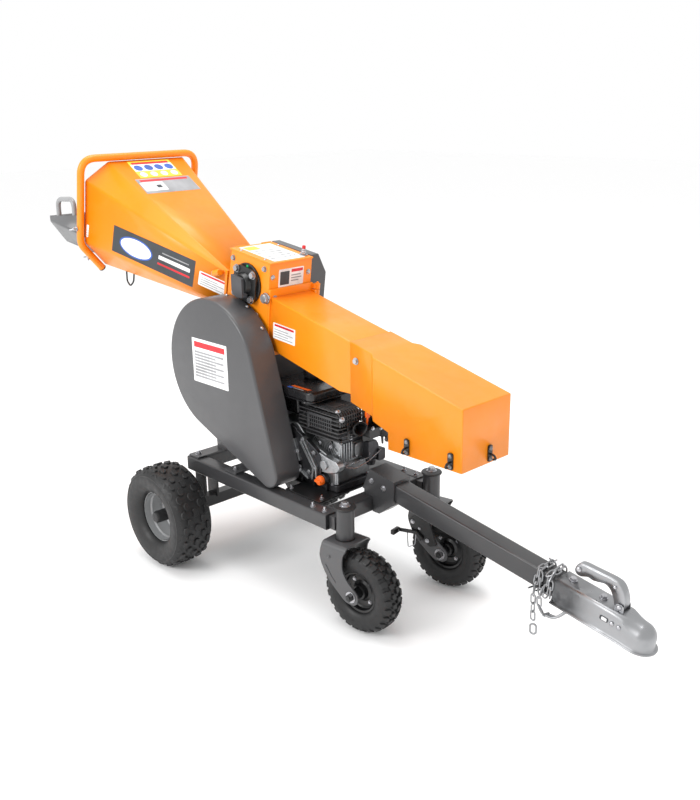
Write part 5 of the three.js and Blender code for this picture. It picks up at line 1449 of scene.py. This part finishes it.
def make_cylinder():
    barrel = Shape().prism(rounded([(-222, 452), (-120, 448), (-96, 470), (-96, 556), (-222, 566)], 10), "y", -62, 26)
    piece(barrel, "cylinder_barrel", "chassis", "cast_dark", 2, ("engine_cylinder",))
    fins = Shape()
    for k in range(13):
        turn = math.radians(228 + 7.2 * k)
        out = Vector((math.cos(turn), math.sin(turn)))
        side = Vector((-out.y, out.x)) * 1.3
        middle = Vector(FAN)
        a, b = middle + out * 36, middle + out * (98 - 0.35 * abs(k - 6) ** 1.6)
        fins.prism([a + side, b + side, b - side, a - side], "y", -80, 34)
    piece(fins, "cylinder_fins", "chassis", "cast", 0.5)
    head = Shape().prism(rounded([(-126, 440), (-97, 440), (-97, 512), (-126, 524)], 5), "y", -76, 40)
    for k in range(5):
        head.block(-97.5, -91, -74 + k * 11, -69 + k * 11, 448, 508)
    piece(head, "cylinder_head", "chassis", "bright_cast", 1.6)
    cover = Shape().prism(rectangle(-20, 46, 452, 500, 11), "x", -98, -84)
    cover.prism(rectangle(-24, 50, 448, 504, 13), "x", -98, -92)
    piece(cover, "rocker_cover", "chassis", "cast", 2.2)
    screws = Shape()
    for y, z in ((-14, 458), (40, 458), (40, 494), (-14, 494)):
        screws.bolt((-84.4, y, z), (1, 0, 0), 3.6, washer=False, dome=True)
    screws.bolt((-90, -58, 440), (1, 0, 0), 7)
    screws.bolt((-90, -34, 522), (1, 0, 0), 6)
    piece(screws, "rocker_screws", "chassis", "bolt")
    linkage = Shape()
    turns, steps = 11, 9
    coil = []
    start, end = Vector((-80, -50, 438)), Vector((-64, 2, 448))
    along = (end - start).normalized()
    side = along.orthogonal().normalized()
    other = along.cross(side)
    for k in range(turns * steps + 1):
        turn = 2 * math.pi * k / steps
        coil.append(start.lerp(end, k / (turns * steps)) + (side * math.cos(turn) + other * math.sin(turn)) * 3.2)
    linkage.tube(coil, 0.8, 6)
    linkage.tube([start - along * 14, start], 1.2, 8)
    linkage.tube(rounded([end, end + along * 16, end + along * 18 + Vector((0, 0, 16))], 5, 3, closed=False), 1.2, 8)
    linkage.tube(rounded([(-86, -60, 430), (-70, -30, 424), (-60, 20, 440), (-48, 60, 470)], 10, 4, closed=False), 1.6, 8)
    piece(linkage, "governor_spring", "chassis", "bolt", weld=False)


GUARD_X = (-254, -74)
GUARD_Y = (-100, 14)
GUARD_Z = (522, 620)


def rail(shape, outline, inner, axis, low, high):
    """A thin strip whose edge view is an open bent line, given by its two sides."""
    shape.prism(outline + list(reversed(inner)), axis, low, high)


def make_muffler_guard():
    (x0, x1), (y0, y1), (z0, z1) = GUARD_X, GUARD_Y, GUARD_Z
    slats = Shape()
    for k in range(7):
        z = z0 + 3 + k * 13
        left = x0 - 4 + (6 if k < 2 else 0) + (26 if k < 1 else 0)
        outer = rounded([(left, y0), (x1, y0), (x1, y1)], 14, 5, closed=False)
        inner = rounded([(left, y0 + 5), (x1 - 5, y0 + 5), (x1 - 5, y1)], 10, 5, closed=False)
        rail(slats, outer, inner, "z", z, z + 3.6)
    for k in range(11):
        y = y0 + 7 + k * 10
        outer = rounded([(x0 + 2, z1), (x1, z1), (x1, z0 + 50)], 18, 6, closed=False)
        inner = rounded([(x0 + 2, z1 - 5), (x1 - 5, z1 - 5), (x1 - 5, z0 + 50)], 14, 6, closed=False)
        rail(slats, outer, inner, "y", y, y + 3.4)
    for x in (x0 + 8, x0 + 66, x0 + 126):
        slats.block(x, x + 6, y0 + 5, y1 - 2, z1 - 6, z1 - 1.5)
    for k in range(11):
        x = -212 + k * 10
        slats.block(x, x + 3.6, y0 + 0.8, y0 + 5, 548, 592)
    slats.block(-216, -104, y0 - 0.6, y0 + 5, 589, 598)
    slats.block(-218, -212, y0 - 0.6, y0 + 5, 544, 598)
    slats.block(x1 - 6, x1 - 0.5, -60, -52, z0, z0 + 54)
    slats.block(x1 - 6, x1 - 0.5, y1 - 8, y1, z0, z0 + 98)
    slats.prism(rounded([(-176, -62), (-128, -62), (-128, -20), (-176, -20)], 6), "z", z1 - 3, z1 + 1.2)
    piece(slats, "muffler_guard_slats", "chassis", "guard_black", 0.9, ("muffler_guard",))
    shell = Shape().prism(rounded([(-244, z1 - 12), (-86, z1 - 12), (-86, 566), (-244, 566)], 14), "y", y0 + 12, y1 - 6)
    shell.block(-236, -86, y0 + 9, y0 + 13, z0 + 2, 566)
    piece(shell, "muffler_body", "chassis", "black", 1.5)
    outlet = Shape()
    profile = [(13, 0), (14, 6), (24, 30), (26, 32), (24, 33), (20, 31), (10, 8), (9, 1)]
    outlet.lathe(profile, (x1 - 4, -22, 566), (x1 + 30, -34, 560), 36, closed=True)
    piece(outlet, "exhaust_outlet", "chassis", "black")
    bolts = Shape()
    for place in ((x1 - 16, y0 + 12, z1), (-236, y0 + 12, z1), (x1 - 16, y1 - 10, z1)):
        bolts.bolt(place, (0, 0, 1), 8.5, dome=True)
    bolts.bolt((x1, y0 + 14, z1 - 22), (1, -0.4, 0), 8, dome=True)
    piece(bolts, "muffler_guard_bolts", "chassis", "bolt")


TANK_LOW, TANK_TOP = 560, 662


def make_tank():
    upper = rounded([(-402, -112), (-184, -112), (-184, 130), (-402, 130)], 26, 6)
    lower = rounded([(-398, -68), (-300, -68), (-300, 26), (-210, 26), (-210, 126), (-398, 126)], 16, 5)
    tank = Shape().prism(upper, "z", 630, TANK_TOP)
    piece(tank, "fuel_tank_upper", "chassis", "tank", 9, ("fuel_tank",), segments=5)
    piece(Shape().prism(lower, "z", TANK_LOW, 631), "fuel_tank_lower", "chassis", "tank", 5)
    seam = rounded([(-404, -114), (-182, -114), (-182, 132), (-404, 132)], 27, 6)
    piece(Shape().prism(seam, "z", 629, 633), "fuel_tank_seam", "chassis", "tank", 1)
    stripe = Shape().prism([(-300, -92), (-222, -92), (-216, -80), (-300, -80)], "z", TANK_TOP - 0.5, TANK_TOP + 0.4)
    piece(stripe, "tank_stripe", "chassis", "signal")
    patch = Shape().prism([(-304, -106), (-284, -106), (-284, -96), (-304, -96)], "z", TANK_TOP - 0.5, TANK_TOP + 0.4)
    piece(patch, "tank_patch", "chassis", "label_blue")
    lines = Shape().prism([(-280, -103), (-232, -103), (-232, -98), (-280, -98)], "z", TANK_TOP - 0.5, TANK_TOP + 0.4)
    piece(lines, "tank_line", "chassis", "label_grey")
    x, y = -325, 30
    profile = [(0, 0.6), (30, 0.6), (31, 4), (34, 5), (35, 8), (35, 18), (33, 21), (28, 22), (24, 20.5), (12, 20.5), (0, 21)]
    cap = Shape().lathe(profile, (x, y, TANK_TOP), (x, y, TANK_TOP + 1), 64)
    for k in range(16):
        turn = 2 * math.pi * k / 16
        cap.rod((x + 34 * math.cos(turn), y + 34 * math.sin(turn), TANK_TOP + 5),
                (x + 34 * math.cos(turn), y + 34 * math.sin(turn), TANK_TOP + 20), 3, 12, edge=1)
    cap.block(x - 22, x + 22, y - 4, y + 4, TANK_TOP + 20, TANK_TOP + 23)
    piece(cap, "fuel_cap_ribbed", "tank_cap", "plastic", 0, ("fuel_cap",))


def make_engine_dressings():
    x, z = CRANK
    dome = [(0, 80), (52, 79), (80, 75), (93, 66), (99, 54), (100, 40), (100, 0), (0, 0)]
    cover = Shape().lathe(dome, (x, 58.4, z), (x, 59.4, z), 72)
    piece(cover, "recoil_cover_dome", "chassis", "black", 0, ("recoil_cover",), smooth=50)
    louvres = Shape()
    for k in range(20):
        turn = 2 * math.pi * k / 20
        out = Vector((math.cos(turn), 0, math.sin(turn)))
        around = Vector((-out.z, 0, out.x))
        middle = Vector((x, 0, z))
        points = []
        for r, d in ((42, 137.6), (84, 132)):
            for w in (-3, 3):
                points.append(middle + out * r + around * w + Vector((0, d, 0)))
        points += [p + Vector((0, 2.2, 0)) for p in points[:4]]
        louvres.hull(points)
    louvres.rod((x, 136, z), (x, 141, z), 26, 48, edge=1.5)
    piece(louvres, "recoil_louvres", "chassis", "guard_black")
    grip = Shape().prism(rounded([(-346, 511), (-278, 511), (-278, 523), (-300, 531), (-324, 531), (-346, 523)], 6), "y", 141, 157)
    grip.rod((-312, 149, 508), (-312, 149, 516), 5, 20)
    piece(grip, "recoil_grip_handle", "starter_grip", "plastic", 3, ("recoil_grip",))
    filter_box = Shape().prism(rounded([(-92, 40), (-20, 40), (-20, 124), (-92, 124)], 16), "z", 520, 606)
    filter_box.prism(rounded([(-88, 44), (-24, 44), (-24, 120), (-88, 120)], 16), "z", 606, 620)
    piece(filter_box, "air_filter_box", "chassis", "plastic", 5, ("air_filter",))
    carb = Shape()
    carb.prism(rounded([(14, 442), (60, 442), (60, 486), (48, 504), (14, 504)], 6), "x", -92, -58)
    carb.prism(rounded([(52, 430), (84, 430), (84, 470), (52, 470)], 8), "x", -84, -52)
    carb.rod((-70, 34, 442), (-70, 34, 420), 18, 32, end_radius=14, edge=2)
    carb.prism(rounded([(-132, 60), (-90, 60), (-90, 100), (-132, 100)], 6), "z", 540, 580)
    piece(carb, "carburettor", "chassis", "cast_dark", 2)
    brackets = Shape()
    brackets.prism(rounded([(-8, 508), (76, 508), (80, 478), (86, 478), (86, 560), (60, 584), (-8, 584)], 8), "x", -66, -62)
    brackets.prism(rounded([(-10, 528), (64, 528), (64, 556), (-10, 556)], 6), "x", -64, -30)
    brackets.rod((-28, 70, 500), (-28, 70, 520), 10, 24, edge=1)
    piece(brackets, "control_bracket", "chassis", "black", 1.5)
    knobs = Shape()
    for y, zz in ((4, 570), (40, 562), (62, 520)):
        knobs.bolt((-30, y, zz - 12), (1, 0, 0), 5.5)
    piece(knobs, "control_screws", "chassis", "bolt")
    lever = Shape().tube(rounded([(-58, 6, 560), (-50, 2, 592), (-52, 4, 604)], 8, 4, closed=False), 3.5, 12)
    lever.prism(rounded([(-4, 588), (12, 588), (12, 610), (-4, 610)], 5), "x", -56, -48)
    piece(lever, "choke_lever", "chassis", "signal", 1)
    dip = (-135, -118.4, 392)
    profile = [(0, 0), (12, 0), (15, 1.5), (16, 5), (15.5, 13), (13, 16), (0, 16)]
    out = Vector((0, -1, 0))
    stick = Shape().lathe(profile, dip, Vector(dip) + out, 40)
    stick.block(-148, -122, -140, -133, 388.5, 395.5)
    piece(stick, "oil_dipstick_cap", "dipstick", "signal", 0.8, ("oil_dipstick",), smooth=40)
    neck = Shape().rod((-135, -96, 392), (-135, -118, 392), 18, 40, edge=1)
    piece(neck, "oil_filler_neck", "chassis", "cast_dark")


# ------------------------------------------------------------------ the whole machine

def oval(u, v, half_width, half_height, steps=48):
    turns = [2 * math.pi * k / steps for k in range(steps)]
    return [(u + half_width * math.cos(t), v + half_height * math.sin(t)) for t in turns]


def printed(name, turn, outline, layer, finish):
    """A flat patch of colour on a label; a higher layer covers a lower one."""
    piece(Shape(turn).prism(outline, "z", 0.4, 0.5 + 0.14 * layer), name, "chassis", finish)


def make_labels():
    near = MIDDLE - HALF
    side = panel_frame((mouth_x(1056), near, 1056), (THROAT_X, THROAT_Y[0], THROAT_LOW), (mouth_x(1277), near, 1277))
    panel_label("nameplate", side, 130, 16, 371, 96, "label_dark", None, 0)
    printed("nameplate_ring", side, oval(238, 62, 76, 36), 1, "label_blue")
    printed("nameplate_oval", side, oval(238, 62, 70, 31), 2, "white")
    printed("nameplate_band", side, rectangle(342, 482, 62, 76, 2), 1, "white")
    printed("nameplate_fine_band", side, rectangle(356, 474, 86, 90, 1), 1, "label_grey")
    printed("nameplate_underline", side, rectangle(340, 484, 42, 49, 1), 1, "label_red")
    panel_label("serial_sticker", side, 3, 24, 10, 46, "white", None, 3)
    panel_label("throat_label", side, 522, 36, 120, 50, "white", "label_red", 4)
    near_top, far_top, top = MOUTH_LEVELS[-1]
    corner = Vector((mouth_x(top), near_top, top))
    throat = Vector((THROAT_X + 0.2 * (THROAT_TOP - THROAT_LOW), near_top, THROAT_TOP))
    deck = panel_frame(corner, (mouth_x(top), far_top, top), corner * 2 - throat)
    panel_label("pictogram_label", deck, 70, -112, 176, 102, "yellow", "label_red", 0)
    printed("pictogram_ground", deck, rectangle(72, 244, -72, -30, 2), 1, "white")
    for k in range(4):
        printed(f"pictogram_{k}", deck, oval(94 + 43 * k, -52, 17, 17), 2, "label_blue")
        printed(f"pictogram_low_{k}", deck, oval(94 + 43 * k, -92, 14, 14), 1, "white")
    panel_label("notice_label", deck, 41, -206, 227, 88, "label_grey", "label_red", 0)
    printed("notice_ground", deck, rectangle(46, 140, -192, -140, 2), 1, "white")
    printed("notice_mark", deck, rectangle(104, 124, -176, -158, 2), 2, "label_dark")


make_camera()
make_studio()
make_frame()
make_sleeves()
make_tow_bar()
make_coupling()
make_lever()
make_chain()
make_rear_wheels()
make_casters()
make_head()
make_plunger()
make_bearings()
make_drives()
make_guard()
make_hopper()
make_tray()
make_chute()
make_hood()
make_crankcase()
make_cylinder()
make_muffler_guard()
make_tank()
make_engine_dressings()
make_labels()
